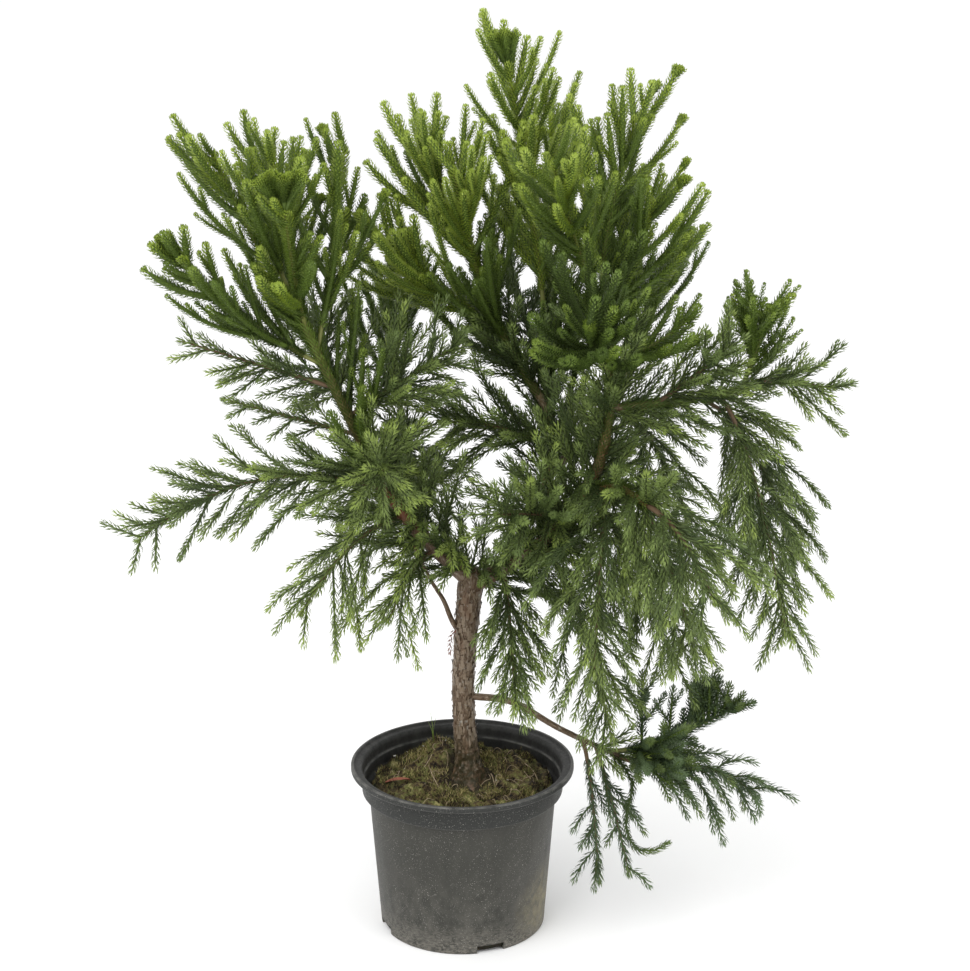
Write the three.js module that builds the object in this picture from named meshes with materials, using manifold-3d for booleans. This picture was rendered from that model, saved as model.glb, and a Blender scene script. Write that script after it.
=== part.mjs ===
// A young crested Japanese cedar in a plastic nursery pot.
// Millimetres, +Z up. The origin is the middle of the pot's flat underside.
// The viewer stands towards -Y.
import * as THREE from "three";
import { mergeVertices } from "three/addons/utils/BufferGeometryUtils.js";
import Module from "manifold-3d";

const wasm = await Module();
wasm.setup();

// Gaps and faceting
const CLEARANCE = 0.3; // between a piece and the one that carries it
const ELBOW_ROOM = 1.2; // between a shoot and anything it doesn't grow from
const MERGE_DISTANCE = 1e-3;
const SLIVER = 0.03; // facets this thin are smoothed away
const FRAME_STEPS = 40;
const TRUNK_SIDES = 12;
const LIMB_SIDES = 6;
const END_SIDES = 24;
const LIMB_STEP = 30;
const STEM_STEP = 50;
const SAMPLE_STEP = 6;

// Nursery pot
const POT_HEIGHT = 172;
const POT_FOOT_RADIUS = 83;
const POT_SHOULDER_RADIUS = 94;
const POT_SHOULDER_HEIGHT = 141;
const COLLAR_RADIUS = 101;
const COLLAR_HEIGHT = 143.5;
const LIP_RADIUS = 112;
const LIP_THICKNESS = 6;
const LIP_ROUND = 1.5;
const POT_WALL = 2;
const POT_FLOOR = 3;
const POT_SIDES = 28;
const DRAIN_COUNT = 4;
const DRAIN_FIRST_ANGLE = -70; // degrees from +X, seen from above
const DRAIN_WIDTH = 28;
const DRAIN_HEIGHT = 8.5;
const DRAIN_DEPTH = 34;

// Root ball, which is compost under moss
const SOIL_LEVEL = 147;
const SOIL_EDGE_DROP = 6;
const SOIL_RINGS = 4;
const SOIL_LUMP = 2.5;
const LUMP_WAVES = { across: 0.16, back: 0.19, skew: 0.05, start: 1.3 }; // radians per mm, then radians
const MOUNDS = [
  { at: [-20, 30], radius: 42, height: 24 },
  { at: [44, 34], radius: 36, height: 12 },
  { at: [-58, -18], radius: 40, height: 5 },
];

// Trunk: the points it passes, and its radius at shares of its length, with the root flare at the foot and
// the swelling at the fork
const TRUNK_PATH = [[6, 0, 147], [6, 0, 162], [2, 0, 217], [1, 0, 255], [5, 0, 323], [10, 0, 380]];
const TRUNK_RADII = [[0, 20], [0.05, 15], [0.13, 12.2], [0.3, 11], [0.7, 11.6], [0.92, 13], [1, 11]];

// Limbs: what each grows on, the points it passes, from inside its carrier to its tip, and its radius at both
// ends
const LEFT_PATH = [[7, 0, 364], [-57, -14, 439], [-105, -28, 536], [-161, -36, 664]];
const RIGHT_PATH = [[12, 0, 360], [83, -25, 417], [126, -40, 482], [140, -50, 561], [131, -56, 665]];
const MIDDLE_PATH = [[82, -24, 416], [84, 28, 466], [86, 54, 545], [81, 60, 610]];
const INNER_PATH = [[85, 48, 524], [40, 52, 600], [8, 52, 680]];
const SIDE_PATH = [[140, -49, 552], [190, -42, 556], [244, -24, 560], [280, -12, 568]];
const FRONT_PATH = [[114, -36, 461], [146, -92, 488], [172, -142, 486]];
const LOW_PATH = [[2, 0, 243], [48, -10, 241], [97, -20, 216], [157, -30, 190]];
const BACK_PATH = [[-36, -9, 416], [-52, 58, 452], [-62, 122, 496]];
const BACK_RIGHT_PATH = [[84, 26, 463], [134, 86, 500], [164, 136, 532]];
const LIMBS = {
  left_leader: { on: "trunk", path: LEFT_PATH, radii: [8, 3.2] },
  right_leader: { on: "trunk", path: RIGHT_PATH, radii: [8.5, 3.2] },
  middle_leader: { on: "right_leader", path: MIDDLE_PATH, radii: [6.5, 3.2] },
  inner_limb: { on: "middle_leader", path: INNER_PATH, radii: [4.6, 2.8] },
  side_limb: { on: "right_leader", path: SIDE_PATH, radii: [4.6, 2.8] },
  front_limb: { on: "right_leader", path: FRONT_PATH, radii: [4.6, 2.8] },
  low_limb: { on: "trunk", path: LOW_PATH, radii: [3.8, 2.6] },
  back_limb: { on: "left_leader", path: BACK_PATH, radii: [5, 2.8] },
  back_right_limb: { on: "middle_leader", path: BACK_RIGHT_PATH, radii: [5, 2.8] },
};

// How a mass grows. Its stem rises or sags by arch, a share of its length, and bears a shoot at every
// spacing from bare on. Shoots stand at splay degrees to the stem, in a flat spray or round it, turn up or
// down by rise, shorten towards the stem's tip by taper, and are girth wide from their core, less towards
// their own tips by blunt.
const HABITS = {
  upright: {
    arch: -0.12,
    spacing: 13,
    bare: 0.12,
    reach: 150,
    taper: 0.65,
    splay: 38,
    rise: 0.9,
    round: 1,
    girth: 14,
    blunt: 0.8,
  },
  level: {
    arch: 0,
    spacing: 13,
    bare: 0.1,
    reach: 120,
    taper: 0.65,
    splay: 48,
    rise: 0.1,
    round: 0.35,
    girth: 15,
    blunt: 0.5,
  },
  weeping: {
    arch: 0.3,
    spacing: 14,
    bare: 0.12,
    reach: 130,
    taper: 0.6,
    splay: 48,
    rise: -1.1,
    round: 0.4,
    girth: 14,
    blunt: 0.45,
  },
};

// Foliage masses: the limb each grows on and where along it, the tip of its stem and its habit, with what
// differs from that habit. A crest is a flattened fan of some width on the stem.
const MASSES = {
  left_top: { on: "left_leader", at: 1, tip: [-170, -58, 788], habit: "upright" },
  left_outer: { on: "left_leader", at: 0.92, tip: [-228, -22, 790], habit: "upright" },
  left_side: {
    on: "left_leader",
    at: 0.77,
    tip: [-252, -62, 694],
    habit: "upright",
    crest: { width: 30, at: 0.95 },
  },
  left_low: { on: "left_leader", at: 0.7, tip: [-262, -40, 616], habit: "level", reach: 90 },
  left_under: { on: "left_leader", at: 0.55, tip: [-224, -28, 556], habit: "level", reach: 55 },
  left_inner: { on: "left_leader", at: 0.81, tip: [-108, 12, 788], habit: "upright" },
  left_front: {
    on: "left_leader",
    at: 0.885,
    tip: [-156, -112, 752],
    habit: "upright",
    reach: 85,
    crest: { width: 62, at: 0.98 },
  },
  left_back: { on: "left_leader", at: 0.85, tip: [-202, 92, 776], habit: "upright" },
  left_back_low: { on: "left_leader", at: 0.65, tip: [-150, 140, 600], habit: "level" },
  left_heart: { on: "left_leader", at: 0.61, tip: [-6, -22, 606], habit: "level" },
  left_heart_front: { on: "left_leader", at: 0.46, tip: [-70, -128, 516], habit: "level" },
  left_spray: { on: "left_leader", at: 0.36, tip: [-306, -72, 430], habit: "level", arch: 0.3 },
  left_weep: { on: "left_leader", at: 0.27, tip: [-154, -66, 354], habit: "weeping" },
  left_weep_inner: { on: "left_leader", at: 0.14, tip: [-70, -60, 344], habit: "weeping" },
  middle_top: {
    on: "middle_leader",
    at: 1,
    tip: [44, 58, 862],
    habit: "upright",
    taper: 0.5,
    crest: { width: 38, at: 0.95 },
  },
  middle_left: { on: "inner_limb", at: 1, tip: [-52, 62, 786], habit: "upright" },
  middle_inner: { on: "inner_limb", at: 0.8, tip: [-8, 18, 768], habit: "upright" },
  middle_side: { on: "inner_limb", at: 0.6, tip: [-84, 36, 704], habit: "upright" },
  middle_heart: { on: "middle_leader", at: 0.46, tip: [-14, 10, 524], habit: "level", arch: 0.1 },
  middle_back: { on: "middle_leader", at: 0.93, tip: [88, 174, 796], habit: "upright" },
  middle_back_low: { on: "middle_leader", at: 0.7, tip: [46, 222, 636], habit: "level" },
  right_top: { on: "right_leader", at: 1, tip: [160, -24, 822], habit: "upright" },
  right_outer: { on: "right_leader", at: 0.92, tip: [178, -36, 748], habit: "upright" },
  right_side: { on: "right_leader", at: 0.81, tip: [214, -50, 640], habit: "upright", reach: 90 },
  right_front: { on: "right_leader", at: 0.955, tip: [82, -132, 798], habit: "upright" },
  right_front_low: { on: "right_leader", at: 0.85, tip: [112, -206, 672], habit: "upright" },
  right_back: { on: "right_leader", at: 0.885, tip: [164, 96, 742], habit: "upright" },
  heart_front: { on: "right_leader", at: 0.36, tip: [34, -116, 470], habit: "level" },
  centre_weep: { on: "right_leader", at: 0.1, tip: [52, -84, 270], habit: "weeping", reach: 105 },
  centre_right_weep: { on: "right_leader", at: 0.24, tip: [146, -66, 226], habit: "weeping" },
  right_weep: { on: "right_leader", at: 0.42, tip: [206, -24, 290], habit: "weeping" },
  side_up: { on: "side_limb", at: 0.9, tip: [292, -2, 640], habit: "upright", reach: 110, splay: 46 },
  side_inner: { on: "side_limb", at: 0.3, tip: [250, -70, 616], habit: "level" },
  side_tip: { on: "side_limb", at: 1, tip: [356, -8, 562], habit: "level", reach: 95 },
  side_weep: { on: "side_limb", at: 0.74, tip: [312, -62, 332], habit: "weeping" },
  side_weep_back: { on: "side_limb", at: 0.58, tip: [336, 66, 366], habit: "weeping" },
  front_tip: { on: "front_limb", at: 1, tip: [228, -200, 414], habit: "weeping", arch: 0.2 },
  front_weep: { on: "front_limb", at: 0.7, tip: [222, -98, 322], habit: "weeping" },
  front_low: { on: "front_limb", at: 0.4, tip: [124, -144, 322], habit: "weeping" },
  low_spray: { on: "low_limb", at: 1, tip: [292, -34, 150], habit: "weeping", arch: 0.25, reach: 115 },
  low_curl: { on: "low_limb", at: 0.84, tip: [166, -58, 76], habit: "weeping", arch: 0.1, reach: 80 },
  low_cluster: {
    on: "low_limb",
    at: 0.93,
    tip: [270, -12, 236],
    habit: "upright",
    reach: 92,
    splay: 62,
    rise: 0.35,
  },
  low_weep: { on: "low_limb", at: 0.76, tip: [136, -66, 72], habit: "weeping", reach: 75 },
  back_up: { on: "back_limb", at: 1, tip: [-84, 196, 632], habit: "upright" },
  back_weep: { on: "back_limb", at: 0.78, tip: [-44, 208, 344], habit: "weeping" },
  back_left_weep: { on: "back_limb", at: 0.52, tip: [-120, 160, 384], habit: "weeping" },
  back_right_up: { on: "back_right_limb", at: 1, tip: [206, 200, 642], habit: "upright" },
  back_right_weep: { on: "back_right_limb", at: 0.74, tip: [238, 174, 370], habit: "weeping" },
};

// Stems, shoots and crests
const STEM_RADII = [4.2, 3.2];
const STEM_BARE = 0.6; // of the stem, with no needles of its own
const CORE_RADIUS = 3.2;
const NEEDLE_ROWS = 3;
const WHORL_PITCH = 48;
const WHORL_REACH = 0.8; // how far along its pitch a whorl's needle tips lie
const TWIG_TURN = THREE.MathUtils.degToRad(120);
const GOLDEN_ANGLE = THREE.MathUtils.degToRad(137.508);
const SPACING_SPREAD = 0.6; // how far a shoot strays from its place, as a share of the spacing
const SPLAY_SPREAD = [0.8, 1.2];
const LENGTH_SPREAD = [0.75, 1.1];
const SHORTENED = [1, 0.8, 0.62, 0.46];
const TWIG_ROOT = 0.2; // of a stem or shoot, where it may touch what it stands on
const INTERLACE = 0.6; // how near two shoots of one mass may be, as a share of their widths
const CREST_PROFILE = [[0, 0], [0.3, 0], [0.75, 0.35], [1, 0.75], [0.7, 0.94], [0, 1]];
const CREST_HEIGHT = 44;
const CREST_THICKNESS = 12;
const CREST_SPREAD = 1.4; // how late the fan widens
const CREST_DROOP = 0.16; // how much lower its upper edge lies at the sides
const CREST_SCALLOP = 0.05;
const CREST_SCALLOPS = 7;
const CREST_SIDES = 10;
const CREST_BALLS = [-0.8, -0.4, 0, 0.4, 0.8]; // across the fan, as shares of half its width
const CREST_BALLS_RISE = 0.7; // up the fan
const DRAWS_PER_SHOOT = 7;
const SEEDS = 997;

// Colours and finish
const MATERIALS = {
  plastic: new THREE.MeshStandardMaterial({ color: 0x3b3b38, roughness: 0.55, metalness: 0 }),
  compost: new THREE.MeshStandardMaterial({ color: 0x4c4426, roughness: 0.95, metalness: 0 }),
  bark: new THREE.MeshStandardMaterial({ color: 0x7a6355, roughness: 0.9, metalness: 0 }),
  fresh: new THREE.MeshStandardMaterial({ color: 0x5a8a2c, roughness: 0.6, metalness: 0 }),
  deep: new THREE.MeshStandardMaterial({ color: 0x34562a, roughness: 0.6, metalness: 0 }),
};

const UP = new THREE.Vector3(0, 0, 1);
const point = (xyz) => new THREE.Vector3(...xyz);
const radians = THREE.MathUtils.degToRad;
const mix = THREE.MathUtils.lerp;

// A repeatable number from 0 to 1 for each pair of whole numbers.
function chance(seed, draw) {
  const wave = Math.sin(seed * 127.1 + draw * 311.7) * 43758.5453;
  return wave - Math.floor(wave);
}

// A whole number that stays with a name.
function seedOf(name) {
  return [...name].reduce((sum, letter, i) => sum + letter.charCodeAt(0) * (i + 1), 0) % SEEDS;
}

// Reads a list of [share, value] pairs at a share, straight between neighbours.
function readAt(pairs, share) {
  const after = Math.max(1, pairs.findIndex(([s]) => s >= share));
  const [s0, v0] = pairs[after - 1];
  const [s1, v1] = pairs[after];
  return mix(v0, v1, (share - s0) / (s1 - s0));
}

// Solids and geometry

function solidOf(geometry) {
  const shape = geometry.clone();
  shape.deleteAttribute("normal");
  shape.deleteAttribute("uv");
  const merged = mergeVertices(shape, MERGE_DISTANCE);
  const corners = merged.index.array;
  const kept = [];
  for (let i = 0; i < corners.length; i += 3) {
    const [a, b, c] = corners.slice(i, i + 3);
    if (a !== b && b !== c && c !== a) kept.push(a, b, c);
  }
  const vertProperties = new Float32Array(merged.attributes.position.array);
  return new wasm.Manifold(new wasm.Mesh({ numProp: 3, vertProperties, triVerts: new Uint32Array(kept) }));
}

function geometryOf(solid) {
  const mesh = solid.getMesh();
  const geometry = new THREE.BufferGeometry();
  geometry.setAttribute("position", new THREE.BufferAttribute(new Float32Array(mesh.vertProperties), 3));
  geometry.setIndex(new THREE.BufferAttribute(new Uint32Array(mesh.triVerts), 1));
  geometry.computeVertexNormals();
  return geometry;
}

// The largest body of a solid: loose scraps and the walls of sealed hollows are dropped.
function mainBody(solid) {
  return solid.decompose().reduce((best, body) => (body.volume() > best.volume() ? body : best));
}

// Bends a geometry that stands one unit high on +Y along a curve, and turns it as it rises.
function bend(geometry, curve, turn = 0) {
  const frames = curve.computeFrenetFrames(FRAME_STEPS);
  const place = geometry.attributes.position;
  const axis = new THREE.Vector2();
  for (let i = 0; i < place.count; i++) {
    const share = THREE.MathUtils.clamp(place.getY(i), 0, 1);
    const step = Math.round(share * FRAME_STEPS);
    const across = new THREE.Vector2(place.getX(i), place.getZ(i)).rotateAround(axis, turn * share);
    const moved = curve.getPointAt(share);
    moved.addScaledVector(frames.binormals[step], across.x);
    moved.addScaledVector(frames.normals[step], across.y);
    place.setXYZ(i, moved.x, moved.y, moved.z);
  }
  return geometry;
}

// A tapering limb along a curve, with flat ends.
function limbGeometry(curve, radiusAt, sides) {
  const steps = Math.max(4, Math.round(curve.getLength() / LIMB_STEP));
  const profile = [new THREE.Vector2(0, 0)];
  for (let i = 0; i <= steps; i++) profile.push(new THREE.Vector2(radiusAt(i / steps), i / steps));
  profile.push(new THREE.Vector2(0, 1));
  return bend(new THREE.LatheGeometry(profile, sides), curve);
}

// Radii at shares of a length, from a share onwards: whorls of needle tips, pointing forwards, on a core.
function whorlRadii(length, begin, habit) {
  const whorls = Math.max(2, Math.round((length * (1 - begin)) / WHORL_PITCH));
  const radii = [];
  for (let whorl = 0; whorl < whorls; whorl++) {
    const tips = mix(begin, 1, (whorl + WHORL_REACH) / whorls);
    if (whorl > 0) radii.push([mix(begin, 1, whorl / whorls), CORE_RADIUS]);
    radii.push([tips, habit.girth * mix(1, habit.blunt, tips * tips)]);
  }
  return [...radii, [1, 0]];
}

// A shoot's foot is a point. A stem is bare up to its end stretch.
const shootRadii = (length, habit) => [[0, 0], ...whorlRadii(length, 0, habit)];

function stemRadii(length, habit) {
  const steps = Math.max(2, Math.round((length * STEM_BARE) / STEM_STEP));
  const bare = [];
  for (let i = 0; i <= steps; i++) bare.push([(STEM_BARE * i) / steps, mix(...STEM_RADII, i / steps)]);
  return [[0, 0], ...bare, ...whorlRadii(length, STEM_BARE, habit)];
}

function twigGeometry(curve, radii) {
  const profile = radii.map(([share, radius]) => new THREE.Vector2(radius, share));
  return bend(new THREE.LatheGeometry(profile, NEEDLE_ROWS), curve, TWIG_TURN);
}

// Where a crest stands on its stem, and the directions up the fan and across it.
function crestFrame({ stem, crest }) {
  const along = stem.getTangentAt(crest.at);
  const across = new THREE.Vector3(1, 0, 0).addScaledVector(along, -along.x).normalize();
  return { foot: stem.getPointAt(crest.at), along, across };
}

// A crest: a fan that widens from a stalk, with a scalloped upper edge.
function crestGeometry(mass) {
  const { foot, along, across } = crestFrame(mass);
  const { width } = mass.crest;
  const through = new THREE.Vector3().crossVectors(across, along);
  const profile = CREST_PROFILE.map(([r, h]) => new THREE.Vector2(r, h));
  const geometry = new THREE.LatheGeometry(profile, CREST_SIDES);
  const place = geometry.attributes.position;
  for (let i = 0; i < place.count; i++) {
    const side = place.getX(i);
    const share = place.getY(i);
    const edge = 1 - CREST_DROOP * side * side + CREST_SCALLOP * Math.cos(side * CREST_SCALLOPS);
    const wide = mix(CREST_THICKNESS, width, share ** CREST_SPREAD) / 2;
    place.setXYZ(i, side * wide, share * edge * CREST_HEIGHT, (place.getZ(i) * CREST_THICKNESS) / 2);
  }
  return geometry.applyMatrix4(new THREE.Matrix4().makeBasis(across, along, through).setPosition(foot));
}

// Pot and root ball

// Radius of the outside of the pot's body at a height.
function potRadius(height) {
  return mix(POT_FOOT_RADIUS, POT_SHOULDER_RADIUS, height / POT_SHOULDER_HEIGHT);
}

function makePot() {
  const lipFoot = POT_HEIGHT - LIP_THICKNESS;
  const outline = [
    [0, 0],
    [POT_FOOT_RADIUS, 0],
    [POT_SHOULDER_RADIUS, POT_SHOULDER_HEIGHT],
    [COLLAR_RADIUS, COLLAR_HEIGHT],
    [COLLAR_RADIUS, lipFoot],
    [LIP_RADIUS - LIP_ROUND, lipFoot],
    [LIP_RADIUS, lipFoot + LIP_ROUND],
    [LIP_RADIUS, POT_HEIGHT - LIP_ROUND],
    [LIP_RADIUS - LIP_ROUND, POT_HEIGHT],
    [COLLAR_RADIUS, POT_HEIGHT],
    [COLLAR_RADIUS - POT_WALL, lipFoot],
    [COLLAR_RADIUS - POT_WALL, COLLAR_HEIGHT + POT_WALL],
    [POT_SHOULDER_RADIUS - POT_WALL, POT_SHOULDER_HEIGHT],
    [potRadius(POT_FLOOR) - POT_WALL, POT_FLOOR],
    [0, POT_FLOOR],
  ].map(([r, z]) => new THREE.Vector2(r, z));
  let pot = solidOf(new THREE.LatheGeometry(outline, POT_SIDES).rotateX(Math.PI / 2));
  for (let drain = 0; drain < DRAIN_COUNT; drain++) {
    const slot = new THREE.BoxGeometry(DRAIN_DEPTH, DRAIN_WIDTH, DRAIN_HEIGHT * 2);
    slot.translate(POT_FOOT_RADIUS, 0, 0);
    slot.rotateZ(radians(DRAIN_FIRST_ANGLE + (360 / DRAIN_COUNT) * drain));
    pot = pot.subtract(solidOf(slot));
  }
  return pot;
}

// Height of the moss over a point of the pot's plan.
function soilHeight(x, y) {
  const { across, back, skew, start } = LUMP_WAVES;
  const lumps = SOIL_LUMP * Math.sin(x * across + start) * Math.cos(y * back + x * skew);
  const rises = MOUNDS.map(({ at, radius, height }) => {
    const away = ((x - at[0]) ** 2 + (y - at[1]) ** 2) / radius ** 2;
    return height * Math.exp(-2 * away);
  });
  return rises.reduce((sum, rise) => sum + rise, SOIL_LEVEL + lumps);
}

// The root ball fills the pot. A socket holds the trunk's foot.
function makeRootBall(trunkRoom) {
  const inside = (height) => potRadius(height) - POT_WALL - CLEARANCE;
  const bottom = POT_FLOOR + CLEARANCE;
  const edge = SOIL_LEVEL - SOIL_EDGE_DROP;
  const profile = [[0, bottom], [inside(bottom), bottom], [inside(edge), edge]];
  for (let ring = SOIL_RINGS; ring >= 0; ring--) {
    profile.push([(inside(edge) - CLEARANCE) * (ring / SOIL_RINGS), SOIL_LEVEL]);
  }
  const points = profile.map(([r, z]) => new THREE.Vector2(r, z));
  const geometry = new THREE.LatheGeometry(points, POT_SIDES).rotateX(Math.PI / 2);
  const place = geometry.attributes.position;
  for (let i = 0; i < place.count; i++) {
    if (place.getZ(i) > edge + CLEARANCE) place.setZ(i, soilHeight(place.getX(i), place.getY(i)));
  }
  return mainBody(solidOf(geometry).subtract(trunkRoom));
}

// Trunk and limbs

const curves = { trunk: new THREE.CatmullRomCurve3(TRUNK_PATH.map(point)) };
const radiusOf = { trunk: (share) => readAt(TRUNK_RADII, share) };
for (const [name, { path, radii }] of Object.entries(LIMBS)) {
  curves[name] = new THREE.CatmullRomCurve3(path.map(point));
  radiusOf[name] = (share) => mix(radii[0], radii[1], share);
}

const sidesOf = (name) => (name === "trunk" ? TRUNK_SIDES : LIMB_SIDES);

function limbSolid(name, gap = 0) {
  return solidOf(limbGeometry(curves[name], (share) => radiusOf[name](share) + gap, sidesOf(name)));
}

// The room that a limb's neighbours leave round it and past both its ends.
function limbRoom(name) {
  const pieces = [limbSolid(name, CLEARANCE)];
  for (const [share, onward] of [[0, -CLEARANCE], [1, CLEARANCE]]) {
    const end = curves[name].getPointAt(share);
    const along = curves[name].getTangentAt(share);
    const beyond = (step) => end.clone().addScaledVector(along, step);
    const past = new THREE.LineCurve3(beyond(-onward), beyond(onward));
    pieces.push(solidOf(limbGeometry(past, () => radiusOf[name](share) + CLEARANCE, END_SIDES)));
  }
  return wasm.Manifold.union(pieces);
}

// Foliage

// A mass's stem: from its limb's axis, or from just past the limb's tip, to the mass's own tip.
function stemCurve({ on, at, tip, arch }) {
  const end = point(tip);
  if (at < 1) {
    const start = curves[on].getPointAt(at);
    const middle = start.clone().lerp(end, 0.5).addScaledVector(UP, arch * start.distanceTo(end));
    return new THREE.QuadraticBezierCurve3(start, middle, end);
  }
  const onward = curves[on].getTangentAt(1);
  const start = curves[on].getPointAt(1).addScaledVector(onward, CLEARANCE);
  const span = start.distanceTo(end);
  const lead = start.clone().addScaledVector(onward, span / 3);
  const approach = end.clone().lerp(start, 1 / 3).addScaledVector(UP, Math.max(0, arch) * span);
  return new THREE.CubicBezierCurve3(start, lead, approach, end);
}

// The curve of one shoot: it leaves the stem at an angle, on a side set by its turn, then rises or hangs.
function shootCurve(mass, number, shortened) {
  const draw = (k) => chance(mass.seed, number * DRAWS_PER_SHOOT + k);
  const place = number + 0.5 + SPACING_SPREAD * (draw(1) - 0.5);
  const share = mix(mass.bare, 1, place / mass.shoots);
  const along = mass.stem.getTangentAt(share);
  const from = mass.stem.getPointAt(share);
  const outward = new THREE.Vector3(from.x, from.y, 0).normalize().add(UP);
  const sideways = new THREE.Vector3().crossVectors(along, outward).normalize();
  const upper = new THREE.Vector3().crossVectors(sideways, along);
  const flat = (number % 2) * Math.PI + draw(2) - 0.5;
  const turn = mix(flat, number * GOLDEN_ANGLE + draw(2), mass.round);
  const side = sideways.multiplyScalar(Math.cos(turn)).addScaledVector(upper, Math.sin(turn));
  const splay = radians(mass.splay * mix(...SPLAY_SPREAD, draw(3)));
  const aim = along.clone().multiplyScalar(Math.cos(splay)).addScaledVector(side, Math.sin(splay));
  const length = mass.reach * (1 - mass.taper * share) * mix(...LENGTH_SPREAD, draw(4)) * shortened;
  const elbow = from.clone().addScaledVector(aim, length / 2);
  const onward = aim.clone().addScaledVector(UP, mass.rise).normalize();
  return new THREE.QuadraticBezierCurve3(from, elbow, elbow.clone().addScaledVector(onward, length / 2));
}

// Balls that cover a curve from a share onwards. They keep pieces out of each other's space.
function balls(owner, curve, radiusAt, begin = 0) {
  const count = Math.ceil(curve.getLength() / SAMPLE_STEP);
  const made = [];
  for (let i = Math.ceil(begin * count); i <= count; i++) {
    made.push({ owner, centre: curve.getPointAt(i / count), radius: radiusAt(i / count) });
  }
  return made;
}

function crestBalls(mass) {
  const { foot, along, across } = crestFrame(mass);
  return CREST_BALLS.map((side) => {
    const centre = foot.clone().addScaledVector(along, CREST_BALLS_RISE * CREST_HEIGHT);
    centre.addScaledVector(across, (side * mass.crest.width) / 2);
    return { owner: mass.name, centre, radius: CREST_THICKNESS };
  });
}

function twigBalls(mass, curve, radii) {
  return balls(mass.name, curve, (share) => readAt(radii, share), TWIG_ROOT);
}

// The pot and the ground count as taken.
function meetsPot({ centre, radius }) {
  const outside = Math.hypot(centre.x, centre.y) > LIP_RADIUS + radius + ELBOW_ROOM;
  return centre.z < radius || (!outside && centre.z < POT_HEIGHT + radius + ELBOW_ROOM);
}

function isFree(room, taken) {
  const meets = (a, b) => {
    const reach = a.radius + b.radius;
    return a.centre.distanceTo(b.centre) < (a.owner === b.owner ? reach * INTERLACE : reach + ELBOW_ROOM);
  };
  return !room.some((ball) => meetsPot(ball) || taken.some((other) => meets(ball, other)));
}

// Every mass takes its shoots in turn, so that none crowds out its neighbours. A shoot that would leave its
// mass's own space or touch a limb is shortened, and skipped if that is not enough.
function growMasses() {
  const masses = Object.entries(MASSES).map(([name, row]) => {
    const mass = { ...HABITS[row.habit], ...row, name, seed: seedOf(name), kept: [] };
    mass.stem = stemCurve(mass);
    mass.shoots = Math.round((mass.stem.getLength() * (1 - mass.bare)) / mass.spacing);
    return mass;
  });
  const taken = Object.entries(curves).flatMap(([name, curve]) => balls(name, curve, radiusOf[name]));
  for (const mass of masses) {
    taken.push(...twigBalls(mass, mass.stem, stemRadii(mass.stem.getLength(), mass)));
    if (mass.crest) taken.push(...crestBalls(mass));
  }
  const most = Math.max(...masses.map((mass) => mass.shoots));
  for (let number = 0; number < most; number++) {
    for (const mass of masses.filter((one) => number < one.shoots)) {
      const room = (curve) => twigBalls(mass, curve, shootRadii(curve.getLength(), mass));
      const tries = SHORTENED.map((share) => shootCurve(mass, number, share));
      const fits = tries.find((curve) => isFree(room(curve), taken));
      if (!fits) continue;
      taken.push(...room(fits));
      mass.kept.push(fits);
    }
  }
  return masses;
}

// One mass: its stem, its shoots and any crest, fused, and cut clear of the limb that carries it.
function massSolid(mass, room) {
  const { stem } = mass;
  const pieces = [twigGeometry(stem, stemRadii(stem.getLength(), mass))];
  pieces.push(...mass.kept.map((curve) => twigGeometry(curve, shootRadii(curve.getLength(), mass))));
  if (mass.crest) pieces.push(crestGeometry(mass));
  const fused = wasm.Manifold.union(pieces.map(solidOf));
  const clear = mass.at < 1 ? fused.subtract(room) : fused;
  return mainBody(clear.simplify(SLIVER));
}

// Assembly

const tree = new THREE.Group();

function addNode(name, solid, material) {
  const mesh = new THREE.Mesh(geometryOf(solid), material);
  mesh.name = name;
  tree.add(mesh);
}

const rooms = { trunk: limbRoom("trunk") };
addNode("pot", makePot(), MATERIALS.plastic);
addNode("root_ball", makeRootBall(rooms.trunk), MATERIALS.compost);
addNode("trunk", limbSolid("trunk"), MATERIALS.bark);
for (const [name, { on }] of Object.entries(LIMBS)) {
  rooms[name] = limbRoom(name);
  addNode(name, mainBody(limbSolid(name).subtract(rooms[on])), MATERIALS.bark);
}
for (const mass of growMasses()) {
  const material = mass.habit === "upright" ? MATERIALS.fresh : MATERIALS.deep;
  addNode(mass.name, massSolid(mass, rooms[mass.on]), material);
}

export default tree;
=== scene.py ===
"""A young crested Japanese cedar in a nursery pot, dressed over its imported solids."""
import math
from types import SimpleNamespace

import bmesh
import bpy
import numpy as np
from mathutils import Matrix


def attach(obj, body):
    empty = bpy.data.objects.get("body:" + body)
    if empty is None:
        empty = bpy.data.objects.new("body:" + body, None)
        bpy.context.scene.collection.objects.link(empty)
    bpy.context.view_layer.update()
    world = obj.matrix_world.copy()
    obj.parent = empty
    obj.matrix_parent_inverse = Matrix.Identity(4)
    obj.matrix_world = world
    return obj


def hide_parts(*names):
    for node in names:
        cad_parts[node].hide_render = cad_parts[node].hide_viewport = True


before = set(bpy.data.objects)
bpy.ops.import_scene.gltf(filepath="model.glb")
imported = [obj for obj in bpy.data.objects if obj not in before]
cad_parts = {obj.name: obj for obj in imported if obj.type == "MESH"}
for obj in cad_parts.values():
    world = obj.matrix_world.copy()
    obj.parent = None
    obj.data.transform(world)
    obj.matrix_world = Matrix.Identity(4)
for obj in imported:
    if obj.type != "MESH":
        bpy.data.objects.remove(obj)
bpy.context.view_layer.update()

# The plant grows in millimetres, and every piece is made in metres.
MM = 0.001
UP = np.array([0.0, 0.0, 1.0])
GOLDEN_ANGLE = math.radians(137.508)
GOLDEN_SHARE = 0.618034
HASH = (127.1, 311.7, 74.7)
HASH_SEED = 53.3
HASH_SCALE = 43758.5453
CURVE_STEPS = 200
CURVE_NUDGE = 1e-4
STRAIGHT = 0.02
PIECE_TRIANGLES = 190_000

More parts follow.
